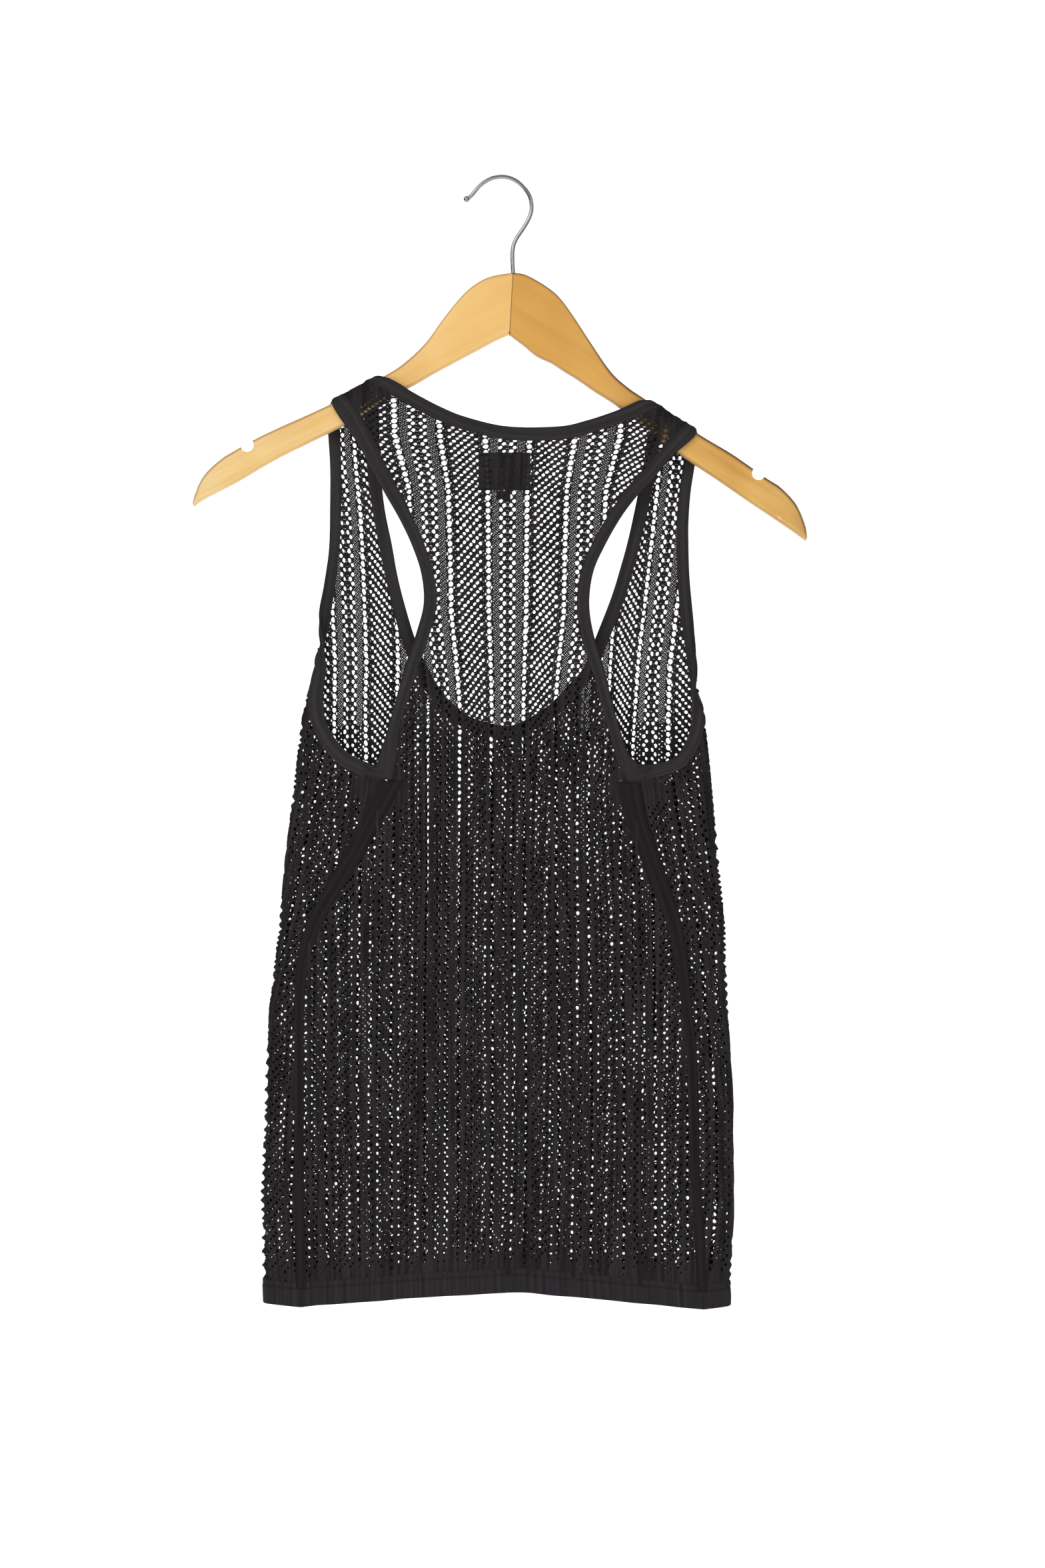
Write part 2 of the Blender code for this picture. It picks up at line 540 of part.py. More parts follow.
# Hanger arms: two shaped pieces of wood that meet in a mitre under the hook, each notched near its end
for name, rows, hand, look, notch in (
    ("hanger_arm_left", ARM_LEFT, -1, WOOD_LEFT, NOTCHES[0]),
    ("hanger_arm_right", ARM_RIGHT, 1, WOOD_RIGHT, NOTCHES[1]),
):
    mesh = bmesh.new()
    rings = []
    for k, (top_x, top_z, low_x, low_z, thick) in enumerate(rows):
        shift = hand * MITRE_GAP if k == 0 else 0.0
        upper, lower = Vector((top_x + shift, 0, top_z)), Vector((low_x + shift, 0, low_z))
        middle, along = (upper + lower) / 2, (upper - lower).normalized()
        ring = corner_ring((upper - lower).length / 2, thick, ARM_CORNER)
        rings.append([mesh.verts.new(middle + along * u + Vector((0, v, 0))) for u, v in ring])
    for a, b in zip(rings, rings[1:]):
        for k in range(len(a)):
            mesh.faces.new((a[k], a[k - 1], b[k - 1], b[k]))
    mesh.faces.new(rings[0])
    mesh.faces.new(rings[-1][::-1])
    arm = add_object(name, mesh, look)
    cuts = [
        cutter(name + "_notch", NOTCH_R, (notch[0], -10, notch[1]), (notch[0], 10, notch[1])),
        cutter(name + "_hook_hole", HOOK_HOLE_R, (8.5, 0, -60.0), (8.1, 0, HOOK_HOLE_Z)),
    ]
    for cut in cuts:
        boolean = arm.modifiers.new(cut.name, "BOOLEAN")
        boolean.operation = "DIFFERENCE"
        boolean.solver = "EXACT"
        boolean.object = cut

# Hook: bent wire with a ball tip, let into the top of the mitre
mesh = bmesh.new()
line = [Vector((x, 0, z)) for x, z in smooth_rows(HOOK, (2,) * 21 + (1,) * 3)]
tip = (line[0] - line[1]).normalized()
rounds = [(line[0] + tip * BALL_R * math.cos(t) * 1.0, BALL_R * math.sin(t)) for t in (0.35, 0.8, 1.3, 1.8, 2.2)]
rounds += [(place, WIRE_R) for place in line[2:]]
rings = []
for k, (place, radius) in enumerate(rounds):
    before, after = rounds[max(k - 1, 0)][0], rounds[min(k + 1, len(rounds) - 1)][0]
    along = (after - before).normalized()
    beside = along.cross(Vector((0, 1, 0)))
    turns = [2 * math.pi * i / HOOK_SIDES for i in range(HOOK_SIDES)]
    rings.append(
        [mesh.verts.new(place + radius * (beside * math.cos(t) + Vector((0, math.sin(t), 0)))) for t in turns]
    )
for a, b in zip(rings, rings[1:]):
    for k in range(HOOK_SIDES):
        mesh.faces.new((a[k], a[k - 1], b[k - 1], b[k]))
mesh.faces.new(rings[0])
mesh.faces.new(rings[-1][::-1])
add_object("hanger_hook", mesh, CHROME)
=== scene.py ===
"""Looks of a knitted openwork racerback tank top that hangs by its straps on a wooden hanger.

Places are in millimetres in the frame's own axes and become metres when a mesh is made. X runs across the
hanger, Z is up, and the back of the top faces -Y. A place on the cloth is (q, z, side): q runs across and z
runs up the cloth as if it were unrolled over the shoulders, and q beyond a side fold has gone round to the
other face.
"""

import math

import bmesh
import bpy
import numpy as np
from mathutils import Matrix, Vector


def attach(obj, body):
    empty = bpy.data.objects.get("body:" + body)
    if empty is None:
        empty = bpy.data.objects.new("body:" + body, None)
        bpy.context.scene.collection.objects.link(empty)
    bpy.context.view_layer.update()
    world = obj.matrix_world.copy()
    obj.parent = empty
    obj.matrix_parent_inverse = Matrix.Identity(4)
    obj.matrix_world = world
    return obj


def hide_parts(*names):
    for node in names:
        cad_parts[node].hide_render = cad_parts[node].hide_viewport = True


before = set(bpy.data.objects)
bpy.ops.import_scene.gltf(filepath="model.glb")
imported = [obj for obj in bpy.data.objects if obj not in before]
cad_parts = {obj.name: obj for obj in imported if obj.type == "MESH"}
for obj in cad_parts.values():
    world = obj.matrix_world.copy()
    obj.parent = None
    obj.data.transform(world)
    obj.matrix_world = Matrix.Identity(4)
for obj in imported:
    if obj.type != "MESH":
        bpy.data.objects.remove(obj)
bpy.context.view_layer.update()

# ------------------------------------------------------------------------------
# Back openwork: the racerback panel, knitted flat in black yarn with ribs, ladders of large holes and fields
# of slanting eyelets. It is linked into the bands at its neck and armholes and sewn to the front at the side
# seams.

MM = 0.001
NEAR, FAR = -1, 1
CENTRE = 4.6
ROUND = 2.6  # how square the hanging tube's section is
HANGER_Z, LOOSE_Z = -208.0, -318.0  # above the first the cloth lies on the hanger's two faces
TURN_Z = (-300.0, -345.0)  # between these the edge of the front turns round the side folds
FOLD_PULL = 1.8  # cloth this near a side fold is drawn on to it, so that the fold is a smooth line
SHOULDER_R = 8.1
SHOULDERS = ((-89.2, -142.4, 0.547), (108.0, -160.3, -0.650))  # a place on each shoulder line, and its slope
# The straps' edges curl in where they lie on top of the hanger, and the cloth puckers there
STRAP_MIDDLES, DRAWN_IN = (-107.8, 126.5), 0.2
PUCKER, PUCKER_WAVE = 0.35, 0.85

# The tube: height, left fold, right fold, half depth
SIDES = (
    (-816.7, -171.6, 165.3, 14.0),
    (-738.7, -174.0, 168.2, 15.0),
    (-671.2, -171.6, 167.7, 15.0),
    (-598.9, -167.7, 163.9, 14.5),
    (-545.9, -161.5, 162.4, 14.0),
    (-473.6, -154.2, 155.7, 13.0),
    (-425.4, -148.5, 150.9, 12.0),
    (-391.6, -144.6, 147.5, 11.0),
    (-372.3, -139.8, 143.2, 10.5),
    (-354.5, -135.0, 141.2, 10.0),
    (-336.2, -132.5, 139.8, 9.5),
    (-304.9, -128.7, 137.9, 9.0),
    (-256.7, -124.8, 135.9, 8.4),
    (-208.5, -124.4, 139.8, 8.1),
    (-184.4, -125.8, 143.6, 8.1),
    (-141.0, -126.3, 148.5, 8.1),
)

# Soft folds: side, top x and z, bottom x and z, half width, rise out of the tube
FOLDS = (
    (NEAR, 22.0, -520.0, 16.0, -830.0, 13.0, -3.0),
    (NEAR, -22.0, -500.0, -30.0, -830.0, 16.0, 2.4),
    (NEAR, -84.0, -470.0, -134.0, -640.0, 9.0, -2.6),
    (NEAR, 84.0, -540.0, 96.0, -830.0, 15.0, 2.2),
    (FAR, -60.0, -430.0, -74.0, -830.0, 20.0, 2.4),
    (FAR, 52.0, -480.0, 60.0, -830.0, 18.0, -2.6),
)
FOLD_SWELLS = (20.0, -60.0)  # a fold swells between these heights over and under its top
FOLD_STOPS = 0.97  # and stops at this share of the way to a side fold
# Ripples of the hanging cloth: height, mm a radian across and up, start, and what the side adds to the start
RIPPLES = ((0.55, 7.1, 160.0, 1, 0), (0.55, 11.3, -210.0, 0, 1), (0.44, 4.9, 130.0, 0, 0))
RIPPLE_Z = (-400.0, -520.0)  # the ripples set in between these

# Sections across each back strap: armhole edge x and z, armhole seam, neck seam, neck edge
BACK_LEFT = (
    (-126.3, -157.4, -117.6, -152.7, -97.8, -141.9, -89.2, -137.2),
    (-123.9, -161.7, -114.2, -156.4, -94.5, -145.3, -87.2, -139.3),
    (-121.0, -166.5, -108.9, -161.2, -89.2, -151.1, -82.9, -143.9),
    (-116.2, -174.2, -103.1, -168.9, -79.0, -157.4, -73.3, -149.2),
    (-110.4, -182.4, -98.3, -177.1, -68.9, -163.6, -63.6, -155.4),
    (-103.6, -192.6, -92.5, -188.2, -48.7, -174.2, -44.3, -165.6),
    (-97.4, -203.6, -86.8, -199.8, -28.0, -182.4, -25.1, -173.3),
    (-90.6, -216.2, -80.5, -212.8, CENTRE, -189.7, CENTRE, -180.0),
)
BACK_RIGHT = (
    (145.1, -178.9, 135.9, -172.9, 117.1, -160.7, 108.0, -154.8),
    (142.2, -183.9, 132.1, -178.1, 112.3, -164.6, 105.1, -156.9),
    (138.3, -188.7, 128.2, -182.9, 106.5, -168.7, 100.7, -160.3),
    (132.5, -193.8, 123.9, -187.5, 95.4, -174.0, 91.1, -165.1),
    (125.3, -200.0, 118.1, -193.5, 84.8, -178.1, 81.0, -169.4),
    (118.1, -207.5, 110.9, -201.2, 65.1, -184.8, 61.7, -175.7),
    (111.3, -216.2, 104.1, -209.9, 43.9, -189.7, 41.5, -180.0),
    (104.1, -223.9, 96.4, -217.6, CENTRE, -189.7, CENTRE, -180.0),
)

# The racerback between the armholes: left edge x and z, left seam, right seam, right edge
BACK_UNDER = (
    (-82.9, -230.2, -72.8, -227.3, 87.7, -228.2, 95.4, -233.5),
    (-73.3, -247.0, -63.6, -245.6, 77.6, -243.2, 85.3, -247.5),
    (-64.6, -265.3, -55.4, -264.4, 66.0, -263.4, 74.7, -266.3),
    (-57.8, -285.6, -48.7, -285.6, 57.4, -284.1, 66.5, -285.1),
    (-55.9, -307.3, -46.3, -307.3, 54.5, -308.2, 63.6, -307.3),
    (-61.2, -329.0, -51.6, -330.4, 57.4, -331.4, 66.5, -329.0),
    (-69.4, -353.1, -60.2, -355.5, 65.6, -356.4, 73.7, -353.1),
    (-76.2, -378.1, -68.0, -380.1, 72.3, -381.0, 80.0, -378.1),
    (-82.4, -400.3, -73.7, -401.3, 78.6, -403.2, 86.3, -400.3),
    (-87.2, -415.7, -75.2, -419.6, 83.9, -421.5, 92.1, -416.2),
    (-90.1, -424.4, -79.0, -435.5, 91.6, -436.9, 98.8, -423.4),
)

# Side seams, which lie on the back: left x and z, centre z, right x and z. The last two rows are the hem
# band's upper and lower edge.
SEAMS = (
    (-92.5, -461.5, -461.5, 96.9, -461.5),
    (-105.6, -487.5, -487.5, 106.0, -487.5),
    (-120.0, -512.1, -512.1, 115.2, -512.1),
    (-133.5, -536.2, -535.3, 123.9, -536.2),
    (-141.7, -560.3, -558.9, 128.7, -560.3),
    (-145.1, -589.2, -586.8, 132.5, -589.2),
    (-145.6, -623.0, -619.1, 136.4, -623.0),
    (-145.6, -661.5, -656.2, 137.9, -661.5),
    (-145.6, -704.9, -697.7, 139.3, -704.9),
    (-145.1, -753.1, -744.4, 142.2, -753.1),
    (-144.1, -801.8, -790.7, 145.1, -803.7),
    (-144.1, -814.8, -803.7, 146.0, -816.7),
)
SEAM_TOP_Z = -436.0
PLAIN_HEM = 2.5  # plain knitting above the hem band
HEM_CURVE = 1.35
EDGE_SPACING = 2.0
TUCKED = 0.3  # a panel's edge lies this share of the band's width in under its band

# Holes of the openwork: width as a share of the repeat, height as a share of the pattern's row, corners
EYELET, PAIRED, RUNG, SLIT = (0.0425, 0.124, 6), (0.047, 0.158, 6), (0.061, 0.203, 8), (0.020, 0.105, 4)
DOT, SPECK, COARSE_DOT = (0.0098, 0.034, 4), (0.011, 0.034, 4), (0.024, 0.072, 4)
# Columns of the repeat: place as a share of the repeat, holes in a row of the pattern, phase, hole
FIELD_COLUMNS, FIELD_STEP, FIELD_SLANT = 8, 0.0415, -0.38
FIELD = tuple(
    (0.5 + (k - (FIELD_COLUMNS - 1) / 2) * FIELD_STEP, 3, FIELD_SLANT * k, *EYELET)
    for k in range(FIELD_COLUMNS)
)
OPENWORK = FIELD + (
    (0.042, 3, 0.0, *PAIRED),
    (0.083, 3, 0.5, *PAIRED),
    (0.211, 2, 0.0, *SLIT),
    (0.250, 4, 0.5, *RUNG),
    (0.290, 2, 0.5, *SLIT),
    (0.710, 2, 0.0, *SLIT),
    (0.750, 4, 0.5, *RUNG),
    (0.789, 2, 0.5, *SLIT),
    (0.917, 3, 0.5, *PAIRED),
    (0.958, 3, 0.0, *PAIRED),
)
# Pinholes that show where the cloth is single: the dotted bands and the specks along the ribs
DOT_STEP, DOT_COLUMNS = 0.0185, 5
PINHOLES = tuple(
    (start + k * DOT_STEP, 11, 0.5 * (k % 2), *DOT)
    for start in (0.113, 0.813)
    for k in range(DOT_COLUMNS)
) + tuple((place, 6, 0.25, *SPECK) for place in (0.010, 0.317, 0.683, 0.990))
# Where the cloth is double the dotted bands are plainer, with fewer and larger holes
COARSE_COLUMNS = ((0.142, 0.1), (0.178, 0.6), (0.83, 0.3), (0.866, 0.8))
COARSE = tuple((place, 5, phase, *COARSE_DOT) for place, phase in COARSE_COLUMNS)
LEAN = 0.12  # a hole's right side stands this share of its half height above its middle
SPARE = 0.3  # plain cloth at each end of a strip, in pattern rows

YARN = 0.9  # thickness of the openwork
RIBS, RIB_RISE, RIB_WIDTH = (0.0, 0.322, 0.678, 1.0), 0.45, 0.03  # places in the repeat, rise, half width
# Waves that shake the strands: how fast they run across and up, and their start
STRAND_WOBBLE = 0.13
SHAKEN_ACROSS = ((0.9, 0.7, 0), (-0.8, 1.3, 2), (2.3, 1.1, 4))
SHAKEN_UP = ((1.1, -0.9, 1), (0.6, 1.5, 3), (-1.9, 2.1, 0))
# How much the holes differ in size, and how far the stretch pulls them open: above and below the underarms
SPREAD, SPREAD_Z = (0.2, 0.3), (-390.0, -450.0)
PULLED_OPEN, PULLED_OPEN_Z = (1.05, 0.90), (-350.0, -460.0)
# What is left of a hole where the cloth is pressed on the wood, at the hem, at a side fold and in a plain
# spot, and how far from each the holes start to open and are whole
OVER_WOOD, AT_HEM, AT_FOLD, IN_SPOT = 0.27, 0.2, 0.4, 0.12
FROM_WOOD, FROM_HEM, FROM_FOLD, FROM_SPOT = (4.0, 22.0), (7.0, 15.0), (1.5, 5.5), (-4.0, 4.0)
FOLDED_Z = (-345.0, -390.0)  # below these the side folds press the holes shut
RAGGED, RAGGED_WAVES = 3.0, ((1.7, 0), (0.61, 1))  # the upper edge of the plain hem is uneven

# Back chart: rows of the pattern down to a height, and the repeat's width at a height
BACK_ROWS = (
    (0.0, -134.0),
    (1.8, -160.3),
    (3.77, -189.2),
    (5.01, -208.5),
    (6.16, -227.7),
    (7.21, -247.0),
    (36.0, -806.1),
)
BACK_WIDTHS = (
    (-820.0, 47.2),
    (-470.0, 47.2),
    (-425.0, 46.8),
    (-382.0, 45.8),
    (-353.0, 48.8),
    (-314.5, 54.0),
    (-275.9, 54.9),
    (-225.3, 56.9),
    (-186.8, 65.1),
    (-134.0, 66.5),
)
BACK_DOTTED = 15  # pattern rows that are single cloth, and so have their pinholes
BACK_YOKE_ROWS = 15.4
# The wales and the courses wander from here down, in waves: height, mm a radian across and up, start
BACK_DRIFT_Z = (-380.0, -520.0)
BACK_WALES, BACK_COURSES = ((1.3, 45, 120, 0), (0.6, -70, 55, 2)), ((1.4, 27, math.inf, 1),)
BACK_HALF_HEM = 149.0
BACK_PLAIN = ((-79.0, -441.0, 14.0), (91.0, -441.0, 14.0))  # plain spots: q, z and radius


def ease(x, start, end):
    """0 before start, 1 after end and a smooth climb between."""
    t = np.clip((x - start) / (end - start), 0, 1)
    return t * t * (3 - 2 * t)


def side_folds(z):
    """The left fold, the right fold and the half depth of the tube at some heights."""
    table = np.array(SIDES)
    return [np.interp(z, table[:, 0], table[:, k]) for k in (1, 2, 3)]


def shoulder(q):
    """A place on the shoulder line under some places, as x and z, and the line's slope."""
    return [np.where(q < CENTRE, SHOULDERS[0][k], SHOULDERS[1][k]) for k in range(3)]


def cloth(q, z, side):
    """The middle of the cloth at some places on the flattened tube, as rows of x, y, z."""
    q, z = np.asarray(q, float), np.asarray(z, float)
    side = np.broadcast_to(np.asarray(side, float), q.shape)
    left, right, depth = side_folds(z)
    past = np.where(q < left, q - left, np.where(q > right, q - right, 0))
    turned = ease(z, *TURN_Z)
    flap = np.abs(past) * np.sin(math.pi * turned) * side
    q = q - past * (1 - np.cos(math.pi * turned))
    side = np.where(past != 0, side * np.cos(math.pi * turned), side)
    for fold in (left, right):
        off = q - fold
        q = fold + off * (1 - turned * (1 - np.minimum(np.abs(off) / FOLD_PULL, 1)))
    across = np.minimum(np.abs(2 * q - left - right) / (right - left), 1)
    loose = ease(z, HANGER_Z, LOOSE_Z)
    depth = depth * (1 - loose + loose * (1 - across**ROUND) ** (1 / ROUND))
    for fold_side, x0, z0, x1, z1, width, rise in FOLDS:
        along = np.clip((z - z0) / (z1 - z0), 0, 1)
        off = (q - x0 - along * (x1 - x0)) / width
        swell = rise * ease(z, z0 + FOLD_SWELLS[0], z0 + FOLD_SWELLS[1]) * np.exp(-off * off)
        depth = depth + np.where((side == fold_side) & (across < FOLD_STOPS), swell, 0)
    ripple = sum(
        height * np.sin(q / wide + z / tall + start + by_side * side)
        for height, wide, tall, start, by_side in RIPPLES
    )
    depth = depth + ripple * ease(z, *RIPPLE_Z) * (1 - across**4)
    x0, z0, slope = shoulder(q)
    lean = np.hypot(1, slope)
    spring = z0 + slope * (q - x0) - SHOULDER_R * lean
    turn = np.maximum(z - spring, 0) / lean / SHOULDER_R
    depth = np.where(z > spring, SHOULDER_R * np.cos(turn), depth)
    z = np.where(z > spring, spring + SHOULDER_R * np.sin(turn) * lean, z)
    drawn_in = (np.where(q < CENTRE, *STRAP_MIDDLES) - q) * DRAWN_IN * np.sin(np.clip(turn, 0, math.pi)) ** 3
    pucker = PUCKER * np.sin(q * PUCKER_WAVE) * np.minimum(turn, 1)
    return np.stack([q + drawn_in, side * depth - flap, z + slope * drawn_in + pucker], -1)


def outward(q, z, side):
    """The cloth's outward directions, from the places beside each one."""
    step = 0.6
    across = cloth(q + step, z, side) - cloth(q - step, z, side)
    up = cloth(q, z + step, side) - cloth(q, z - step, side)
    normal = -np.reshape(np.broadcast_to(np.asarray(side, float), q.shape), (-1, 1)) * np.cross(across, up)
    return normal / np.linalg.norm(normal, axis=1, keepdims=True)


def smooth_rows(rows, spacing):
    """Rows of numbers with more between them on a smooth curve, about as far apart as spacing."""
    table = np.array(rows, float)
    padded = np.vstack([2 * table[0] - table[1], table, 2 * table[-1] - table[-2]])
    out = []
    for i in range(len(table) - 1):
        a, b, c, d = padded[i : i + 4]
        parts = max(math.ceil(np.abs(c - b).max() / spacing), 1)
        for t in np.arange(parts) / parts:
            bend = t * t * (a - 2.5 * b + 2 * c - d / 2)
            out.append(b + t * (c - a) / 2 + bend + t**3 * (1.5 * (b - c) + (d - a) / 2))
    return np.array([*out, table[-1]])


def inside(places, outline):
    """Which places are inside a closed outline of q and z."""
    found = np.zeros(len(places), bool)
    x, y = places[:, 0], places[:, 1]
    for (x0, y0), (x1, y1) in zip(outline, np.roll(outline, -1, axis=0)):
        if y0 != y1:
            crosses = (y0 > y) != (y1 > y)
            found ^= crosses & (x < x0 + (y - y0) / (y1 - y0) * (x1 - x0))
    return found


def made_piece(name, mesh, smooth=True):
    """Makes an object in the scene of a bmesh, and frees the bmesh."""
    data = bpy.data.meshes.new(name)
    mesh.to_mesh(data)
    mesh.free()
    if smooth:
        data.shade_smooth()
    piece = bpy.data.objects.new(name, data)
    bpy.context.scene.collection.objects.link(piece)
    return piece


def openwork_strip(rows, dotted):
    """One repeat of the openwork laid flat: x in repeats, -z in pattern rows, and the first rows dotted."""
    mesh = bmesh.new()
    from_middle = mesh.verts.layers.float_vector.new("from_middle")
    for first, last, holes in ((0, dotted, OPENWORK + PINHOLES), (dotted, rows, OPENWORK + COARSE)):
        start = len(mesh.verts)
        for place, count, phase, width, height, corners in holes:
            for k in range(count):
                down = first + ((k + phase) / count) % 1.0
                hole = Matrix((
                    (width / 2, 0, 0, place),
                    (0, 0, -1, 0),
                    (LEAN * height / 2, height / 2, 0, -down),
                    (0, 0, 0, 1),
                ))
                made = bmesh.ops.create_circle(mesh, cap_ends=False, segments=corners, radius=1, matrix=hole)
                for vert in made["verts"]:
                    vert[from_middle] = vert.co - hole.translation
        mesh.verts.ensure_lookup_table()
        row = mesh.verts[start:]
        row = row + list({edge for vert in row for edge in vert.link_edges})
        for down in range(1, last - first):
            copy = bmesh.ops.duplicate(mesh, geom=row)["geom"]
            verts = [vert for vert in copy if isinstance(vert, bmesh.types.BMVert)]
            bmesh.ops.translate(mesh, vec=(0, 0, -down), verts=verts)
    border = bmesh.ops.create_grid(mesh, x_segments=1, y_segments=3 * rows + 2, size=0.5)["verts"]
    for vert in border:
        vert.co = (vert.co.x + 0.5, 0, SPARE + (vert.co.y - 0.5) * (rows + 2 * SPARE))
    bmesh.ops.delete(mesh, geom=mesh.faces[:], context="FACES_ONLY")
    # Of the border's edges that cross the strip, only the two ends stay
    crossing = [edge for edge in mesh.edges if abs(edge.verts[0].co.x - edge.verts[1].co.x) > 0.9]
    crossing.sort(key=lambda edge: edge.verts[0].co.z)
    bmesh.ops.delete(mesh, geom=crossing[1:-1], context="EDGES")
    bmesh.ops.triangle_fill(mesh, use_beauty=True, use_dissolve=False, edges=mesh.edges[:], normal=(0, -1, 0))
    for face in mesh.faces:
        face.normal_update()
    bmesh.ops.reverse_faces(mesh, faces=[face for face in mesh.faces if face.normal.y > 0])
    data = bpy.data.meshes.new("strip")
    mesh.to_mesh(data)
    mesh.free()
    return data


def between(pair, share):
    """A number some share of the way from the first of a pair to the second."""
    return pair[0] + (pair[1] - pair[0]) * share


def scattered(repeat, down):
    """A number from 0 to 1 for the hole at a place of the pattern. It looks random and is always the same."""
    return np.sin(np.rint(repeat * 500) * 12.9898 + np.rint(down * 200) * 78.233) * 437.58 % 1


def shaken(q, z, waves):
    """How far the strands at some places are out of true."""
    return STRAND_WOBBLE * sum(np.sin(across * q + up * z + start) for across, up, start in waves)


def opened(q, z, half_hem, plain_spots):
    """The size of the holes at a place: nearly shut where the cloth is pressed on the wood, at the hem, along
    the side folds and in the plain spots, and wide in the yoke. half_hem is half the panel's width at its
    hem, and a spot is q, z and radius.
    """
    x0, z0, slope = shoulder(q)
    size = between((OVER_WOOD, 1), ease(z0 + slope * (q - x0) - z, *FROM_WOOD))
    middle, end = SEAMS[-2][2], SEAMS[-2][1]
    hem = middle + (end - middle) * np.abs((q - CENTRE) / half_hem) ** HEM_CURVE
    ragged = RAGGED * sum(np.sin(q * wave + start) for wave, start in RAGGED_WAVES)
    size = size * between((AT_HEM, 1), ease(z - hem - ragged, *FROM_HEM))
    left, right, _ = side_folds(z)
    from_fold = np.minimum(np.abs(q - left), np.abs(q - right))
    size = size * (1 - (1 - AT_FOLD) * (1 - ease(from_fold, *FROM_FOLD)) * ease(z, *FOLDED_Z))
    for spot_q, spot_z, radius in plain_spots:
        size = size * between((IN_SPOT, 1), ease(np.hypot(q - spot_q, z - spot_z) - radius, *FROM_SPOT))
    return size * between(PULLED_OPEN, ease(z, *PULLED_OPEN_Z))


def lay_openwork(
    panel, names, parted_at, dotted, span, shift, side, rows, widths, outline, half_hem, plain, drift
):
    """Lays a panel's repeats side by side on the cloth inside an outline of q and z, and parts them into
    three pieces: one above a row of the pattern, and one on each side of the middle below it. drift gives how
    far the wales and the courses wander at a place.
    """
    strip = openwork_strip(int(rows[-1][0]), dotted)
    sheet = bmesh.new()
    for repeat in range(*span):
        start = len(sheet.verts)
        sheet.from_mesh(strip)
        sheet.verts.ensure_lookup_table()
        bmesh.ops.translate(sheet, vec=(repeat, 0, 0), verts=sheet.verts[start:])
    shared = [vert for vert in sheet.verts if abs(vert.co.x - round(vert.co.x)) < 1e-5]
    bmesh.ops.remove_doubles(sheet, verts=shared, dist=1e-4)
    hand = -side  # the far panel is the same fabric seen from its wrong side, so it runs the other way
    bmesh.ops.scale(sheet, vec=(hand, 1, 1), verts=sheet.verts)
    row_table, width_table = np.array(rows), np.array(widths)

    def place(repeat, down):
        z = np.interp(down, row_table[:, 0], row_table[:, 1])
        q = CENTRE + (repeat + shift) * np.interp(z, width_table[:, 0], width_table[:, 1])
        across, along = drift(q, z)
        return q + across, z + along

    middles = np.array([face.calc_center_median() for face in sheet.faces])
    repeat, down = middles[:, 0], -middles[:, 2]
    kept = inside(np.stack(place(repeat, down), 1), outline)
    above, left = down < parted_at, repeat < 0
    made = []
    for name, part in zip(names, (above, ~above & left, ~above & ~left)):
        mesh = sheet.copy()
        mesh.faces.ensure_lookup_table()
        others = [mesh.faces[i] for i in np.flatnonzero(~(kept & part))]
        bmesh.ops.delete(mesh, geom=others, context="FACES")
        piece = made_piece(name, mesh, smooth=False)
        data = piece.data
        flat = np.empty(len(data.vertices) * 3)
        data.vertices.foreach_get("co", flat)
        offset = np.empty(len(data.vertices) * 3)
        data.attributes["from_middle"].data.foreach_get("vector", offset)
        data.attributes.remove(data.attributes["from_middle"])
        off_repeat, off_down = hand * offset[0::3], -offset[2::3]
        middle_repeat, middle_down = flat[0::3] - off_repeat, -flat[2::3] - off_down
        q, z = place(middle_repeat, middle_down)
        uneven = between(SPREAD, ease(z, *SPREAD_Z)) * (scattered(middle_repeat, middle_down) - 0.5)
        size = opened(q, z, half_hem, plain) * (1 + uneven)
        repeat, down = middle_repeat + off_repeat * size, middle_down + off_down * size
        q, z = place(repeat, down)
        q, z = q + shaken(q, z, SHAKEN_ACROSS), z + shaken(q, z, SHAKEN_UP)
        from_rib = np.min([np.abs(repeat % 1.0 - rib) for rib in RIBS], axis=0)
        rise = RIB_RISE * np.exp(-((from_rib / RIB_WIDTH) ** 2))
        at = cloth(q, z, side) + outward(q, z, side) * rise[:, None]
        data.vertices.foreach_set("co", (at * MM).ravel())
        corner = np.empty(len(data.loops), int)
        data.loops.foreach_get("vertex_index", corner)
        chart = data.uv_layers.new(name="chart")
        chart.data.foreach_set("uv", np.stack([repeat[corner], down[corner]], 1).ravel())
        data.update()
        wall = piece.modifiers.new("yarn", "SOLIDIFY")
        wall.thickness, wall.offset = YARN * MM, 0
        data.materials.append(openwork_look)
        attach(piece, "root")
        made.append(piece)
    sheet.free()
    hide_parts(panel)
    return made


# Outputs of the Texture Coordinate, Geometry, Mix and Wave Texture nodes
OBJECT, NORMAL, MIXED, WAVE = 3, 1, 2, 1


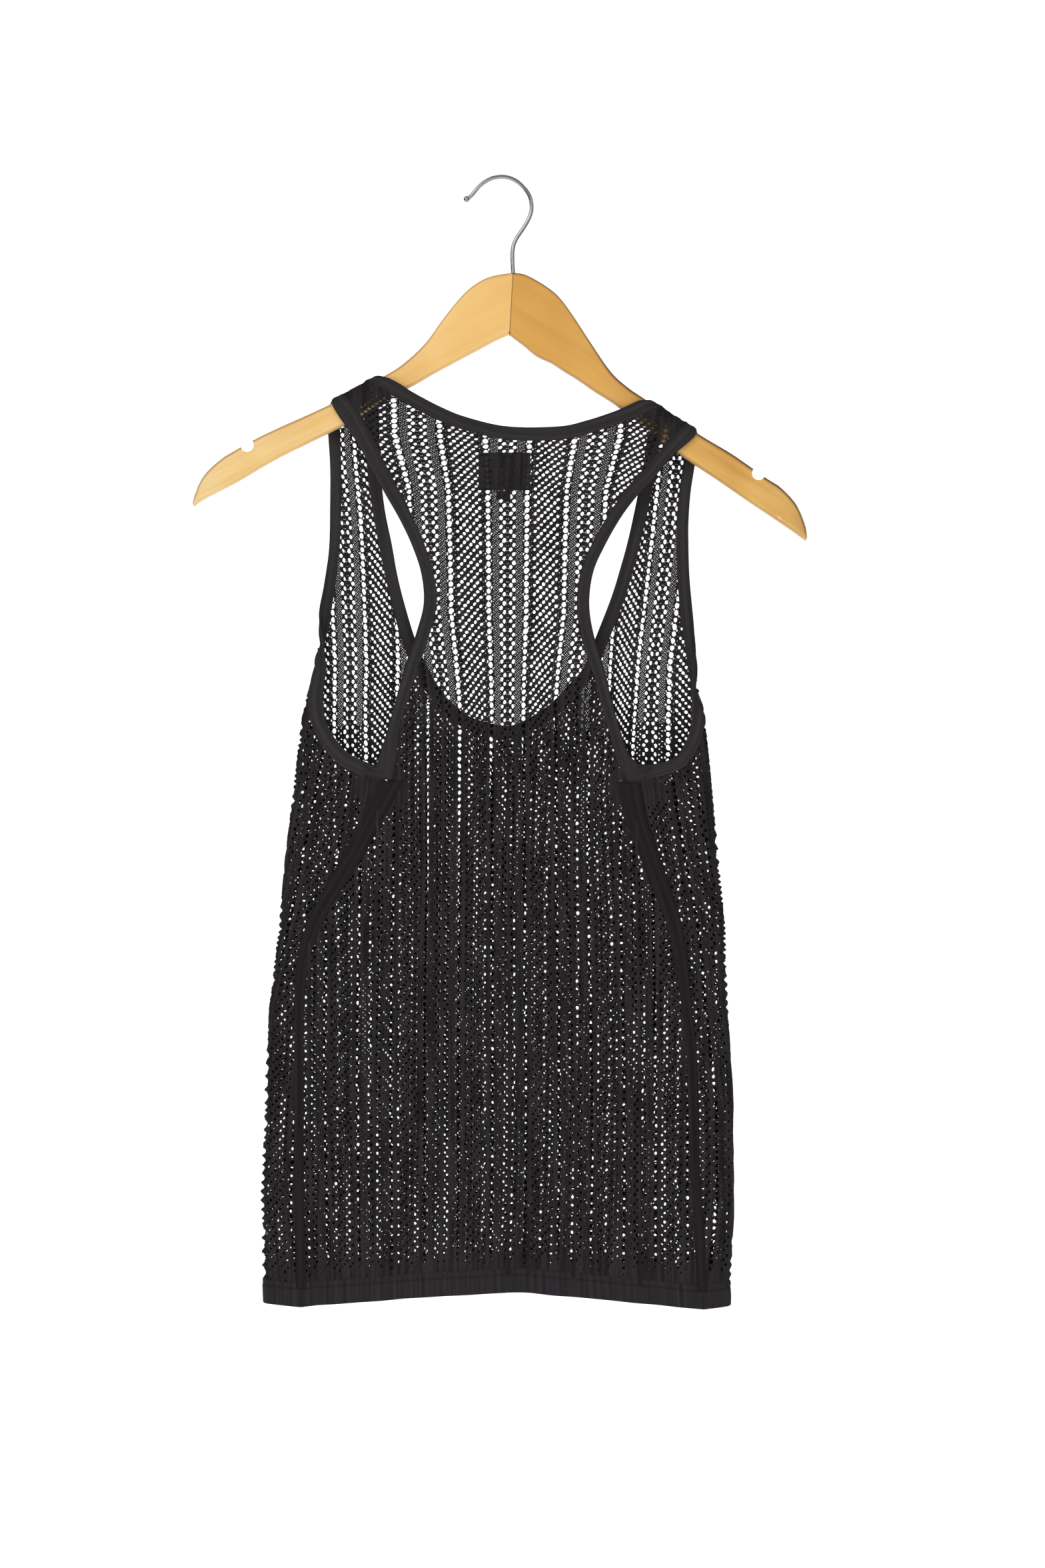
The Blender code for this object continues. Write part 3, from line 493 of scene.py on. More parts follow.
class Wire:
    """A shader socket. Arithmetic on it adds Math nodes to its material, and node adds any other."""

    def __init__(self, tree, socket=None):
        self.tree, self.socket = tree, socket

    def node(self, kind, inputs=None, output=0, **settings):
        """Adds a node, sets it up, feeds its sockets with values or wires and returns one of its outputs."""
        made = self.tree.nodes.new("ShaderNode" + kind)
        for name, value in settings.items():
            setattr(made, name, value)
        for name, value in (inputs or {}).items():
            if isinstance(value, Wire):
                self.tree.links.new(value.socket, made.inputs[name])
            else:
                made.inputs[name].default_value = value
        return Wire(self.tree, made.outputs[output])

    def math(self, operation, *others):
        return self.node("Math", dict(enumerate((self, *others))), operation=operation)

    def __add__(self, other):
        return self.math("ADD", other)

    def __sub__(self, other):
        return self.math("SUBTRACT", other)

    def __rsub__(self, other):
        return self.node("Math", {0: other, 1: self}, operation="SUBTRACT")

    def __mul__(self, other):
        return self.math("MULTIPLY", other)

    __radd__, __rmul__ = __add__, __mul__

    def mix(self, first, second):
        """Colours mixed by this value: 0 is the first."""
        inputs = {"Factor": self, "A": first, "B": second}
        return self.node("Mix", inputs, output=MIXED, data_type="RGBA", clamp_factor=True)


def new_look(name, roughness, **constants):
    """A material with a Principled shader: itself, its Object coordinates and a function that feeds it."""
    look = bpy.data.materials.new(name)
    look.use_nodes = True
    shader = look.node_tree.nodes["Principled BSDF"]
    shader.inputs["Roughness"].default_value = roughness
    for socket, value in constants.items():
        shader.inputs[socket.replace("_", " ")].default_value = value

    def feed(socket, wire):
        look.node_tree.links.new(wire.socket, shader.inputs[socket])

    return look, Wire(look.node_tree).node("TexCoord", output=OBJECT), feed


def noise(place, scale, detail, distortion=0.0):
    """Cloudy noise from 0 to 1 at a place."""
    settings = {"Vector": place, "Scale": scale, "Detail": detail, "Distortion": distortion}
    return place.node("TexNoise", settings)


def ranged(value, start, end, low=0.0, high=1.0):
    """low before a value reaches start, high past end and a straight climb between."""
    ends = {"Value": value, "From Min": start, "From Max": end, "To Min": low, "To Max": high}
    return value.node("MapRange", ends)


# Yarn: how far a stitch's legs slant, sizes of fuzz and uneven dye in noise cells a metre, and the yarn's
# gloss. The light tone leans from neutral to purple in clouds.
STITCH_SLANT = 0.7
FUZZ, DYE, CLOUD = 900.0, 14.0, 5.0
YARN_ROUGHNESS, YARN_GLOSS = 0.86, 0.07
PURPLE = (1.0, 0.92, 1.04)


def yarn_look(name, dark, light, wale, course, streak):
    """Black knitted yarn: rows of slanting stitches on the piece's own map, painted lighter along the stitch
    ridges as painted highlight with painted shade between them, long streaks of painted highlight where some
    wales stand raised, a little fuzz and uneven dye. wale, course and streak are sizes on the map.
    """
    look, place, feed = new_look(name, YARN_ROUGHNESS, Specular_IOR_Level=YARN_GLOSS)
    chart = place.node("UVMap", uv_map="chart")
    across = place.node("SeparateXYZ", {"Vector": chart}, 0) * (1 / wale)
    up = place.node("SeparateXYZ", {"Vector": chart}, 1) * (1 / course)
    leg = (across.math("FRACT") - 0.5).math("ABSOLUTE") * 2
    stitch = ((up + leg * STITCH_SLANT) * (2 * math.pi)).math("SINE") * 0.5 + 0.5
    ridge = stitch * 0.55 + (1 - leg.math("POWER", 3)) * 0.45
    fuzz = noise(place, FUZZ, 3.0)
    dye = noise(place, DYE, 4.0)
    long_way = place.node("Mapping", {"Vector": chart, "Scale": (1 / streak, 0.02 / streak, 1)})
    proud_highlight = ranged(noise(long_way, 1.0, 2.0), 0.36, 0.64)
    # Painted highlight on the stitch ridges and the raised wales, and painted shade in the grooves between
    # them
    tone = ridge * 0.25 + fuzz * 0.2 + dye * 0.1 + proud_highlight * 0.45
    neutral = noise(place, CLOUD, 1.0) * 1.6 - 0.3
    purple = [part * share for part, share in zip(light, PURPLE)]
    feed("Base Color", tone.mix((*dark, 1), neutral.mix((*purple, 1), (*light, 1))))
    feed("Roughness", 0.8 + fuzz * 0.16)
    height = ridge + fuzz * 0.5
    feed("Normal", place.node("Bump", {"Height": height, "Strength": 0.55, "Distance": 0.0004}))
    return look


def seen_edge(rows, seam, edge):
    """A panel's edge, a little way in under its band. seam and edge are the columns of their x."""
    rows = smooth_rows(rows, EDGE_SPACING)
    return rows[:, seam : seam + 2] * (1 - TUCKED) + rows[:, edge : edge + 2] * TUCKED


openwork_foot = np.array(SEAMS[-2]) + (PLAIN_HEM - 1) * np.array((0, 1, 1, 0, 1))
seam_top = (*BACK_UNDER[-1][2:4], SEAM_TOP_Z, *BACK_UNDER[-1][4:6])
side_rows = np.vstack([seam_top, SEAMS[:-2], openwork_foot])
back_outline = np.vstack([
    seen_edge(BACK_LEFT, 2, 0),
    seen_edge(BACK_UNDER, 2, 0)[:-1],
    side_rows[:, 0:2],
    [[CENTRE, side_rows[-1, 2]]],
    side_rows[::-1, 3:5],
    seen_edge(BACK_UNDER, 4, 6)[:-1][::-1],
    seen_edge(BACK_RIGHT, 2, 0)[::-1],
    seen_edge(BACK_RIGHT, 4, 6),
    seen_edge(BACK_LEFT, 4, 6)[::-1],
])


def wandering(q, z, waves):
    """How far the wales or the courses are out of place."""
    return sum(height * np.sin(q / wide + z / tall + start) for height, wide, tall, start in waves)


def back_drift(q, z):
    """How far the back's wales and courses wander."""
    hang = ease(z, *BACK_DRIFT_Z)
    return hang * wandering(q, z, BACK_WALES), hang * wandering(q, z, BACK_COURSES)


OPENWORK_DARK, OPENWORK_LIGHT = (0.0040, 0.0036, 0.0038), (0.0400, 0.0362, 0.0380)
openwork_look = yarn_look(
    "openwork yarn", OPENWORK_DARK, OPENWORK_LIGHT, wale=1 / 40, course=1 / 20, streak=0.06
)
back_yoke, back_body_left, back_body_right = lay_openwork(
    "back_panel",
    names=("back_yoke", "back_body_left", "back_body_right"),
    parted_at=BACK_YOKE_ROWS,
    dotted=BACK_DOTTED,
    span=(-4, 4),
    shift=0.0,
    side=NEAR,
    rows=BACK_ROWS,
    widths=BACK_WIDTHS,
    outline=back_outline,
    half_hem=BACK_HALF_HEM,
    plain=BACK_PLAIN,
    drift=back_drift,
)

# ------------------------------------------------------------------------------
# Front openwork: the same fabric with a half repeat's shift, cut with a low scoop. It hangs on the hanger's
# far face and reaches round both side folds to the seams on the back.

FRONT_LEFT = (
    BACK_LEFT[0],
    (-126.3, -163.2, -117.6, -159.3, -97.8, -149.2, -89.2, -145.3),
    (-126.3, -170.9, -117.6, -167.5, -97.8, -158.8, -89.2, -156.4),
    (-125.8, -184.4, -117.1, -182.0, -97.8, -179.5, -88.7, -178.1),
    (-124.4, -208.5, -116.2, -208.0, -97.4, -209.4, -87.7, -208.5),
    (-124.4, -237.4, -116.2, -237.4, -93.5, -239.8, -84.8, -237.4),
    (-124.8, -263.9, -117.1, -263.9, -88.7, -266.3, -79.5, -263.9),
    (-127.2, -286.5, -119.5, -286.5, -84.3, -287.5, -75.7, -285.1),
    (-131.1, -307.3, -122.4, -307.8, -79.5, -307.8, -70.9, -304.9),
    (-137.4, -336.2, -128.2, -337.2, -71.8, -335.7, -62.7, -332.3),
    (-144.6, -356.0, -135.0, -358.4, -62.7, -356.4, -54.0, -352.1),
    (-151.8, -373.3, -142.7, -377.6, -52.1, -374.8, -44.3, -369.0),
    (-158.1, -384.9, -149.9, -390.2, -40.0, -388.3, -33.7, -381.0),
    (-164.4, -394.5, -157.1, -400.8, -23.6, -398.9, -19.8, -390.2),
    (-172.1, -404.6, -165.8, -411.9, CENTRE, -405.1, CENTRE, -395.5),
)
FRONT_RIGHT = (
    BACK_RIGHT[0],
    (144.1, -185.3, 135.0, -180.5, 117.1, -168.0, 108.0, -163.2),
    (142.7, -195.0, 134.0, -190.1, 116.2, -179.5, 107.0, -175.7),
    (140.3, -208.5, 132.1, -205.6, 114.2, -195.0, 105.1, -192.6),
    (137.4, -227.7, 129.2, -225.8, 111.8, -211.4, 102.7, -209.4),
    (135.9, -249.4, 127.2, -248.0, 106.5, -239.8, 97.4, -236.4),
    (135.9, -268.7, 127.2, -267.8, 100.7, -263.9, 92.1, -260.5),
    (136.4, -286.5, 127.7, -286.5, 95.0, -286.1, 86.3, -281.7),
    (137.9, -307.3, 129.2, -307.3, 88.2, -307.8, 79.5, -303.4),
    (140.7, -336.2, 133.0, -336.7, 76.6, -337.2, 68.0, -332.8),
    (144.6, -356.0, 135.9, -357.9, 68.0, -357.9, 59.8, -353.1),
    (149.9, -374.3, 140.7, -377.6, 54.0, -374.8, 46.8, -368.0),
    (156.2, -387.8, 147.5, -392.6, 41.5, -387.3, 35.7, -379.6),
    (162.0, -402.2, 154.7, -408.0, 24.6, -398.4, 21.2, -389.2),
    (171.1, -415.2, 166.3, -423.0, CENTRE, -405.1, CENTRE, -395.5),
)
# The front's underarm: left edge x and z, left seam, right seam, right edge
FRONT_UNDER = (
    (-184.1, -415.2, -179.8, -423.9, 179.8, -430.2, 182.2, -421.5),
    (-198.6, -422.0, -196.7, -431.6, 193.8, -433.6, 193.8, -423.9),
)
FRONT_ROWS = ((0.0, -134.0), (1.3, -160.3), (5.6, -247.0), (10.8, -353.1), (34.0, -812.0))
FRONT_WIDTHS = (
    (-820.0, 46.8),
    (-470.0, 46.8),
    (-353.0, 45.5),
    (-275.9, 46.7),
    (-242.2, 47.5),
    (-208.5, 49.0),
    (-134.0, 51.0),
)
FRONT_DOTTED = 13
FRONT_PLAIN = ((-221.0, -440.0, 20.0), (213.0, -440.0, 18.0), (-204.0, -436.0, 12.0), (200.0, -440.0, 12.0))
FRONT_HALF_HEM = 200.0
FRONT_STRAP_ROWS = 13.2
FRONT_DRIFT_Z = (-330.0, -430.0)
FRONT_WALES = ((3.0, 61, 150, 0.7), (0.9, -38, 58, 1.9))
FRONT_COURSES = ((2.6, 33, 170, 0), (1.5, 14, math.inf, 0))
# Below the second of those heights the wales lean as well: how far, and a wave of it across
FRONT_LEAN, FRONT_LEANING = 0.012, ((0.028, 55, math.inf, 0.9),)
# Under the right armhole they lean the other way: how far, where that grows and fades, middle and half width
STRAP_LEAN, STRAP_LEAN_Z, STRAP_LEAN_Q = 12.0, ((-220.0, -430.0), (-430.0, -560.0)), (115, 45)


def wrapped(x, z, hand):
    """The q of a place on the back that the front reaches round a side fold."""
    return 2 * side_folds(z)[0 if hand < 0 else 1] - x


wrap_left = np.stack([wrapped(side_rows[:, 0], side_rows[:, 1], -1), side_rows[:, 1]], 1)
wrap_right = np.stack([wrapped(side_rows[:, 3], side_rows[:, 4], 1), side_rows[:, 4]], 1)
front_outline = np.vstack([
    seen_edge(FRONT_LEFT, 2, 0),
    seen_edge(FRONT_UNDER, 2, 0),
    wrap_left,
    [[CENTRE, side_rows[-1, 2]]],
    wrap_right[::-1],
    seen_edge(FRONT_UNDER, 4, 6)[::-1],
    seen_edge(FRONT_RIGHT, 2, 0)[::-1],
    seen_edge(FRONT_RIGHT, 4, 6),
    seen_edge(FRONT_LEFT, 4, 6)[::-1],
])


def front_drift(q, z):
    """How far the front's wales and courses wander."""
    hang = ease(z, *FRONT_DRIFT_Z)
    lean = (FRONT_LEAN + wandering(q, z, FRONT_LEANING)) * (z - FRONT_DRIFT_Z[1])
    (grows, fades), (middle, width) = STRAP_LEAN_Z, STRAP_LEAN_Q
    strap = STRAP_LEAN * ease(z, *grows) * (1 - ease(z, *fades)) * np.exp(-(((q - middle) / width) ** 2))
    across = hang * (wandering(q, z, FRONT_WALES) + lean) - strap
    return across, hang * wandering(q, z, FRONT_COURSES)


front_pieces = lay_openwork(
    "front_panel",
    names=("front_straps", "front_body_left", "front_body_right"),
    parted_at=FRONT_STRAP_ROWS,
    dotted=FRONT_DOTTED,
    span=(-5, 6),
    shift=0.5,
    side=FAR,
    rows=FRONT_ROWS,
    widths=FRONT_WIDTHS,
    outline=front_outline,
    half_hem=FRONT_HALF_HEM,
    plain=FRONT_PLAIN,
    drift=front_drift,
)

# ------------------------------------------------------------------------------
# Bindings: one doubled strip of plain knitting round the neck and one round each armhole, linked on over the
# cut edge of the openwork. Each is a soft flat tube in the same yarn.

BINDING = 2.1
BINDING_SPACING, BINDING_SIDES = 1.6, 14
# How square its section is, across and through: 1 is round and less is squarer
SQUARE_ACROSS, SQUARE_THROUGH = 0.55, 0.8
BINDING_DARK, BINDING_LIGHT = (0.0165, 0.0151, 0.0154), (0.0510, 0.0472, 0.0476)


def grid_places(mesh, along, across):
    """Fills a bmesh with a flat grid. Gives each vertex's step along it and its share of the way across."""
    bmesh.ops.create_grid(mesh, x_segments=along, y_segments=across, size=0.5)
    places = np.array([vert.co for vert in mesh.verts]) + 0.5
    return np.rint(places[:, 0] * along).astype(int), places[:, 1]


def put(mesh, places):
    """Moves a bmesh's vertices to some places."""
    for vert, place in zip(mesh.verts, places * MM):
        vert.co = place


def write_chart(mesh, across, up):
    """Writes the map that the knitting follows: how far across and up its piece each vertex is."""
    layer = mesh.loops.layers.uv.new("chart")
    mesh.verts.index_update()
    for face in mesh.faces:
        for loop in face.loops:
            loop[layer].uv = (across[loop.vert.index], up[loop.vert.index])


def distances(places):
    """How far along a line each of its places is."""
    return np.concatenate([[0], np.cumsum(np.linalg.norm(np.diff(places, axis=0), axis=1))])


def power(wave, exponent):
    """A wave made squarer, with its signs kept."""
    return np.sign(wave) * np.abs(wave) ** exponent


def closed_binding(name, rings, slot):
    """A doubled strip through sections of seam q, z, edge q, z and side, closed on itself."""
    sections = []
    for rows, side, cut in rings:
        smooth = smooth_rows(rows, BINDING_SPACING)[cut]
        sections.append(np.column_stack([smooth, np.full(len(smooth), side)]))
    sections = np.vstack(sections)
    mesh = bmesh.new()
    ring, turn = grid_places(mesh, len(sections), BINDING_SIDES)
    turn = turn * 2 * math.pi
    at = sections[ring % len(sections)]
    share = 0.5 + 0.5 * power(np.cos(turn), SQUARE_ACROSS)
    height = BINDING / 2 * power(np.sin(turn), SQUARE_THROUGH)
    q = at[:, 0] + (at[:, 2] - at[:, 0]) * share
    z = at[:, 1] + (at[:, 3] - at[:, 1]) * share
    put(mesh, cloth(q, z, at[:, 4]) + outward(q, z, at[:, 4]) * height[:, None])
    width = np.hypot(at[:, 2] - at[:, 0], at[:, 3] - at[:, 1]) * share
    write_chart(mesh, width, distances(np.vstack([sections, sections[:1]])[:, :2])[ring])
    bmesh.ops.remove_doubles(mesh, verts=mesh.verts, dist=1e-6)
    bmesh.ops.recalc_face_normals(mesh, faces=mesh.faces)
    piece = made_piece(name, mesh)
    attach(piece, "root")
    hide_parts(slot)
    return piece


def columns(rows, *picked):
    """Some columns of a table."""
    return np.array(rows)[:, picked]


neck = closed_binding(
    "neck_binding",
    (
        (columns((*BACK_LEFT, *BACK_RIGHT[-2::-1]), 4, 5, 6, 7), NEAR, slice(None)),
        (columns((*FRONT_RIGHT, *FRONT_LEFT[-2::-1]), 4, 5, 6, 7), FAR, slice(1, -1)),
    ),
    "neck_band",
)
binding_look = yarn_look("binding yarn", BINDING_DARK, BINDING_LIGHT, wale=1.3, course=1.1, streak=3.0)
neck.data.materials.append(binding_look)
for end, back, front, picked in (
    ("left", BACK_LEFT, FRONT_LEFT, (2, 3, 0, 1)),
    ("right", BACK_RIGHT, FRONT_RIGHT, (4, 5, 6, 7)),
):
    back_rows = np.vstack([columns(back, 2, 3, 0, 1), columns(BACK_UNDER, *picked)])
    front_rows = np.vstack([columns(FRONT_UNDER, *picked)[::-1], columns(front, 2, 3, 0, 1)[::-1]])
    rings = ((back_rows, NEAR, slice(None)), (front_rows, FAR, slice(None, -1)))
    binding = closed_binding("armhole_binding_" + end, rings, "armhole_band_" + end)
    binding.data.materials.append(binding_look)

# ------------------------------------------------------------------------------
# Hem and side seams: a doubled band at the foot of each panel, with plain knitting above it where the
# openwork stops, and a plain strip along each side seam where the two panels are linked.

HEM_THICK, PLAIN_THICK, SEAM_THICK = 1.9, 1.2, 1.5
HEM_PLACES, STRIP_ROWS = 180, 8
PLAIN_LAP, PLAIN_FOOT = 2.0, 0.5  # how far the plain knitting reaches over the openwork and under the band
SEAM_SPACING = 2.5
SEAM_WIDTHS = ((-820.0, 7.0), (-600.0, 7.0), (-540.0, 11.0), (-480.0, 16.0), (-436.0, 18.0))
HEM_DARK, HEM_LIGHT = (0.0095, 0.0087, 0.0092), (0.0420, 0.0385, 0.0405)
SEAM_DARK, SEAM_LIGHT = (0.0050, 0.0046, 0.0048), (0.0290, 0.0265, 0.0278)


def strip_piece(name, top, bottom, side, slot, thick, wales_along=False):
    """A doubled strip between two lines of q and z on the cloth, closed all round. Its wales run from line to
    line, or along them.
    """
    mesh = bmesh.new()
    step, share = grid_places(mesh, len(top) - 1, STRIP_ROWS)
    at = top[step] + (bottom[step] - top[step]) * share[:, None]
    put(mesh, cloth(at[:, 0], at[:, 1], side))
    along, down = distances(top)[step], np.linalg.norm(bottom[step] - top[step], axis=1) * share
    write_chart(mesh, *((down, along) if wales_along else (along, down)))
    if side == NEAR:
        bmesh.ops.reverse_faces(mesh, faces=mesh.faces)
    piece = made_piece(name, mesh)
    wall = piece.modifiers.new("doubled", "SOLIDIFY")
    wall.thickness, wall.offset = thick * MM, 0
    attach(piece, "root")
    return piece


def hem_line(row, side):
    """Places along a hem section from the left seam to the right one, about 2 mm apart."""
    x0, z0, middle, x1, z1 = SEAMS[row]
    if side == FAR:
        x0, x1 = wrapped(x0, z0, -1), wrapped(x1, z1, 1)
    q = np.linspace(x0, x1, HEM_PLACES)
    share = (q - CENTRE) / np.where(q < CENTRE, x0 - CENTRE, x1 - CENTRE)
    return np.stack([q, middle + (np.where(q < CENTRE, z0, z1) - middle) * share**HEM_CURVE], 1)


hem_look = yarn_look("hem yarn", HEM_DARK, HEM_LIGHT, wale=1.3, course=1.0, streak=3.0)
strips = []
for end, side in (("back", NEAR), ("front", FAR)):
    top, bottom = hem_line(-2, side), hem_line(-1, side)
    hem = strip_piece("hem_" + end, top, bottom, side, "hem_band_" + end, HEM_THICK)
    hem.data.materials.append(hem_look)
    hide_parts("hem_band_" + end)
    lines = top + (0, PLAIN_HEM + PLAIN_LAP), top - (0, PLAIN_FOOT)
    plain = strip_piece("plain_" + end, *lines, side, end + "_panel", PLAIN_THICK)
    plain.data.materials.append(hem_look)
    strips += [hem, plain]

seam_look = yarn_look("seam yarn", SEAM_DARK, SEAM_LIGHT, wale=1.3, course=1.0, streak=3.0)
for name, at in (("side_seam_left", [0, 1]), ("side_seam_right", [3, 4])):
    seam = smooth_rows(np.vstack([np.array(seam_top)[at], columns(SEAMS[:-1], *at)]), SEAM_SPACING)
    half = np.zeros_like(seam)
    half[:, 0] = np.interp(seam[:, 1], *np.array(SEAM_WIDTHS).T) / 2
    piece = strip_piece(name, seam + half, seam - half, NEAR, "back_panel", SEAM_THICK, wales_along=True)
    piece.data.materials.append(seam_look)
    strips.insert(0, piece)

# ------------------------------------------------------------------------------
# Neck label and size tab: a rectangle and a small tab of black satin tape, sewn inside the back neck. Both
# are blank, and show dark through the openwork.

label_look, place, feed = new_look("label tape", 0.55)
thread = {"Vector": place, "Distortion": 1.0}
warp = place.node("TexWave", thread | {"Scale": 900.0}, output=WAVE, bands_direction="X")
weft = place.node("TexWave", thread | {"Scale": 700.0}, output=WAVE, bands_direction="Z")
tape = warp * 0.5 + weft * 0.5
feed("Base Color", tape.mix((0.010, 0.009, 0.009, 1), (0.024, 0.022, 0.021, 1)))
feed("Normal", place.node("Bump", {"Height": tape, "Strength": 0.3, "Distance": 0.0002}))
for name in ("neck_label", "size_tab"):
    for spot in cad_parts[name].material_slots:
        spot.material = label_look

# ------------------------------------------------------------------------------
# Hanger: two arms of varnished light wood, glued at a mitre in the middle, drilled for the hook and notched
# near each end. The router has left rounded edges, which carry painted shade, darkest along the top.

# Sections along each arm: upper x and z, lower x and z, half thickness
ARM_LEFT = (
    (8.4, -68.2, 5.9, -112.8, 6.0),
    (-5.8, -70.6, -3.4, -116.9, 6.0),
    (-15.4, -74.5, -10.6, -120.7, 6.0),
    (-25.1, -81.7, -17.8, -124.6, 6.0),
    (-34.7, -92.3, -27.0, -129.4, 6.0),
    (-44.3, -104.8, -38.6, -135.7, 5.8),
    (-54.0, -118.2, -49.2, -141.5, 5.5),
    (-67.5, -131.3, -59.8, -147.7, 5.3),
    (-82.9, -141.9, -74.7, -155.9, 5.3),
    (-124.4, -163.7, -115.7, -179.5, 5.3),
    (-169.7, -184.4, -161.0, -202.2, 5.3),
    (-193.8, -197.4, -185.1, -216.2, 5.3),
    (-203.4, -203.6, -196.2, -222.4, 5.2),
    (-213.0, -212.3, -205.8, -227.3, 5.1),
    (-218.8, -221.0, -214.0, -231.6, 4.8),
    (-222.2, -230.2, -219.3, -235.0, 4.2),
    (-223.2, -235.0, -222.2, -237.4, 3.6),
)
ARM_RIGHT = (
    (8.8, -68.2, 6.3, -113.5, 6.0),
    (18.3, -70.1, 15.9, -120.7, 6.0),
    (32.8, -78.3, 25.5, -128.5, 6.0),
    (42.4, -86.5, 36.6, -133.8, 6.0),
    (52.1, -99.5, 45.3, -139.5, 6.0),
    (64.1, -117.8, 55.4, -145.8, 5.8),
    (79.0, -139.4, 68.0, -154.5, 5.5),
    (90.6, -150.3, 81.0, -162.7, 5.3),
    (103.6, -159.3, 93.5, -172.3, 5.3),
    (143.6, -185.3, 133.0, -202.2, 5.3),
    (167.7, -199.8, 157.1, -218.6, 5.3),
    (191.8, -216.7, 182.2, -235.9, 5.3),
    (201.5, -222.9, 191.8, -242.2, 5.2),
    (211.1, -232.6, 202.4, -249.4, 5.2),
    (215.9, -240.3, 210.2, -254.7, 4.8),
    (220.3, -251.8, 216.9, -259.6, 4.2),
    (221.2, -259.6, 220.3, -262.0, 3.6),
)
ARM_SPACING, ARM_EDGE, CORNER_PARTS = 1.5, 3.8, 7
DRILL_SIDES, DRILL_LENGTH = 64, 20.0
NOTCH_R, HOOK_HOLE_R, HOOK_HOLE = 4.8, 1.85, (8.1, 0, -70.0)
SHARP = math.radians(40)
PLUMB, THROUGH = (0, 0, 1), (0, 1, 0)
SCRATCH_COLOUR = (0.93, 0.84, 0.70, 1)


def drilled(piece, holes):
    """Cuts round holes in a piece. Each is a radius, the middle of the cut and its direction."""
    for radius, middle, along in holes:
        bit = bmesh.new()
        turned = Vector(along).to_track_quat("Z", "Y").to_matrix().to_4x4()
        bmesh.ops.create_cone(
            bit,
            cap_ends=True,
            segments=DRILL_SIDES,
            radius1=radius * MM,
            radius2=radius * MM,
            depth=DRILL_LENGTH * MM,
            matrix=Matrix.Translation(Vector(middle) * MM) @ turned,
        )
        cutter = made_piece("bit", bit, smooth=False)
        cut = piece.modifiers.new("cut", "BOOLEAN")
        cut.operation, cut.solver, cut.object = "DIFFERENCE", "EXACT", cutter
        bpy.context.view_layer.update()
        whole = piece.evaluated_get(bpy.context.evaluated_depsgraph_get())
        data = bpy.data.meshes.new_from_object(whole)
        piece.modifiers.remove(cut)
        piece.data = data
        bpy.data.objects.remove(cutter)
    piece.data.shade_smooth()
    piece.data.set_sharp_from_angle(angle=SHARP)


def close_ends(mesh):
    """Joins a tube's rolled-up grid along its seam and closes both its ends."""
    bmesh.ops.remove_doubles(mesh, verts=mesh.verts, dist=1e-6)
    bmesh.ops.holes_fill(mesh, edges=[edge for edge in mesh.edges if edge.is_boundary], sides=0)


def wooden_arm(name, rows):
    """An arm through its sections, each a box with rounded corners, closed at both ends."""
    sections = smooth_rows(rows, ARM_SPACING)
    around = 4 * CORNER_PARTS
    mesh = bmesh.new()
    ring, turn = grid_places(mesh, len(sections) - 1, around)
    at = sections[ring]
    turn = np.rint(turn * around).astype(int) % around
    corner = turn // CORNER_PARTS
    angle = (corner + (turn % CORNER_PARTS) / (CORNER_PARTS - 1)) * math.pi / 2
    tall = np.hypot(at[:, 0] - at[:, 2], at[:, 1] - at[:, 3]) / 2
    edge = np.minimum(ARM_EDGE, 0.95 * np.minimum(tall, at[:, 4]))
    up = np.where((corner == 0) | (corner == 3), 1, -1) * (tall - edge) + edge * np.cos(angle)
    out = np.where(corner < 2, 1, -1) * (at[:, 4] - edge) + edge * np.sin(angle)
    share = up / tall / 2
    x = (at[:, 0] + at[:, 2]) / 2 + share * (at[:, 0] - at[:, 2])
    z = (at[:, 1] + at[:, 3]) / 2 + share * (at[:, 1] - at[:, 3])
    put(mesh, np.stack([x, out, z], 1))
    close_ends(mesh)
    bmesh.ops.recalc_face_normals(mesh, faces=mesh.faces)
    return made_piece(name, mesh, smooth=False)


def wood_look(name, middle, end, dark, edge, slope, edge_shade_share):
    """Varnished wood, paler towards the arm's end, with long fine grain along the arm and painted shade on
    the rounded edges, darkest where they face up. Its colours are those at the mitre, at the end, in the dark
    streaks and of the painted shade on the edges.
    """
    look, place, feed = new_look(name, 0.3, Coat_Weight=0.15, Coat_Roughness=0.2, Specular_IOR_Level=0.35)
    long_way = {"Vector": place, "Rotation": (0, -math.atan(slope), 0), "Scale": (0.3, 0.016, 0.016)}
    turned = place.node("Mapping", long_way, vector_type="TEXTURE")
    grain = noise(turned, 2.0, 4.0, 0.4)
    pores = noise(turned, 14.0, 3.0)
    cloud = noise(place, 16.0, 2.0)
    outer = ranged(place.node("SeparateXYZ", {"Vector": place}, 0).math("ABSOLUTE"), 0.02, 0.22)
    tone = ranged(grain * 0.35 + pores * 0.15 + cloud * 0.5, 0.36, 0.56)
    board = tone.mix((*dark, 1), outer.mix((*middle, 1), (*end, 1)))
    depth = place.node("SeparateXYZ", {"Vector": place}, 1).math("ABSOLUTE")
    rounding = ranged(depth, 0.0056, 0.0040, high=edge_shade_share)
    up = place.node("SeparateXYZ", {"Vector": place.node("NewGeometry", output=NORMAL)}, 2)
    # Painted shade on the rounded edges: strongest where they face up, mottled by the pores
    edge_shade = rounding * ranged(up, -0.2, 0.5, low=0.3) * (0.6 + pores * 0.8)
    scratch_way = {"Vector": place, "Rotation": (0, 0.9, 0), "Scale": (0.09, 0.0018, 0.0018)}
    scratched = place.node("Mapping", scratch_way, vector_type="TEXTURE")
    nick = ranged(noise(scratched, 1.0, 2.0), 0.755, 0.79, high=0.7)
    feed("Base Color", nick.mix(edge_shade.mix(board, (*edge, 1)), SCRATCH_COLOUR))
    feed("Roughness", 0.26 + pores * 0.14 + nick * 0.2)
    feed("Normal", place.node("Bump", {"Height": pores * 0.5 - nick, "Strength": 0.15, "Distance": 0.0003}))
    return look
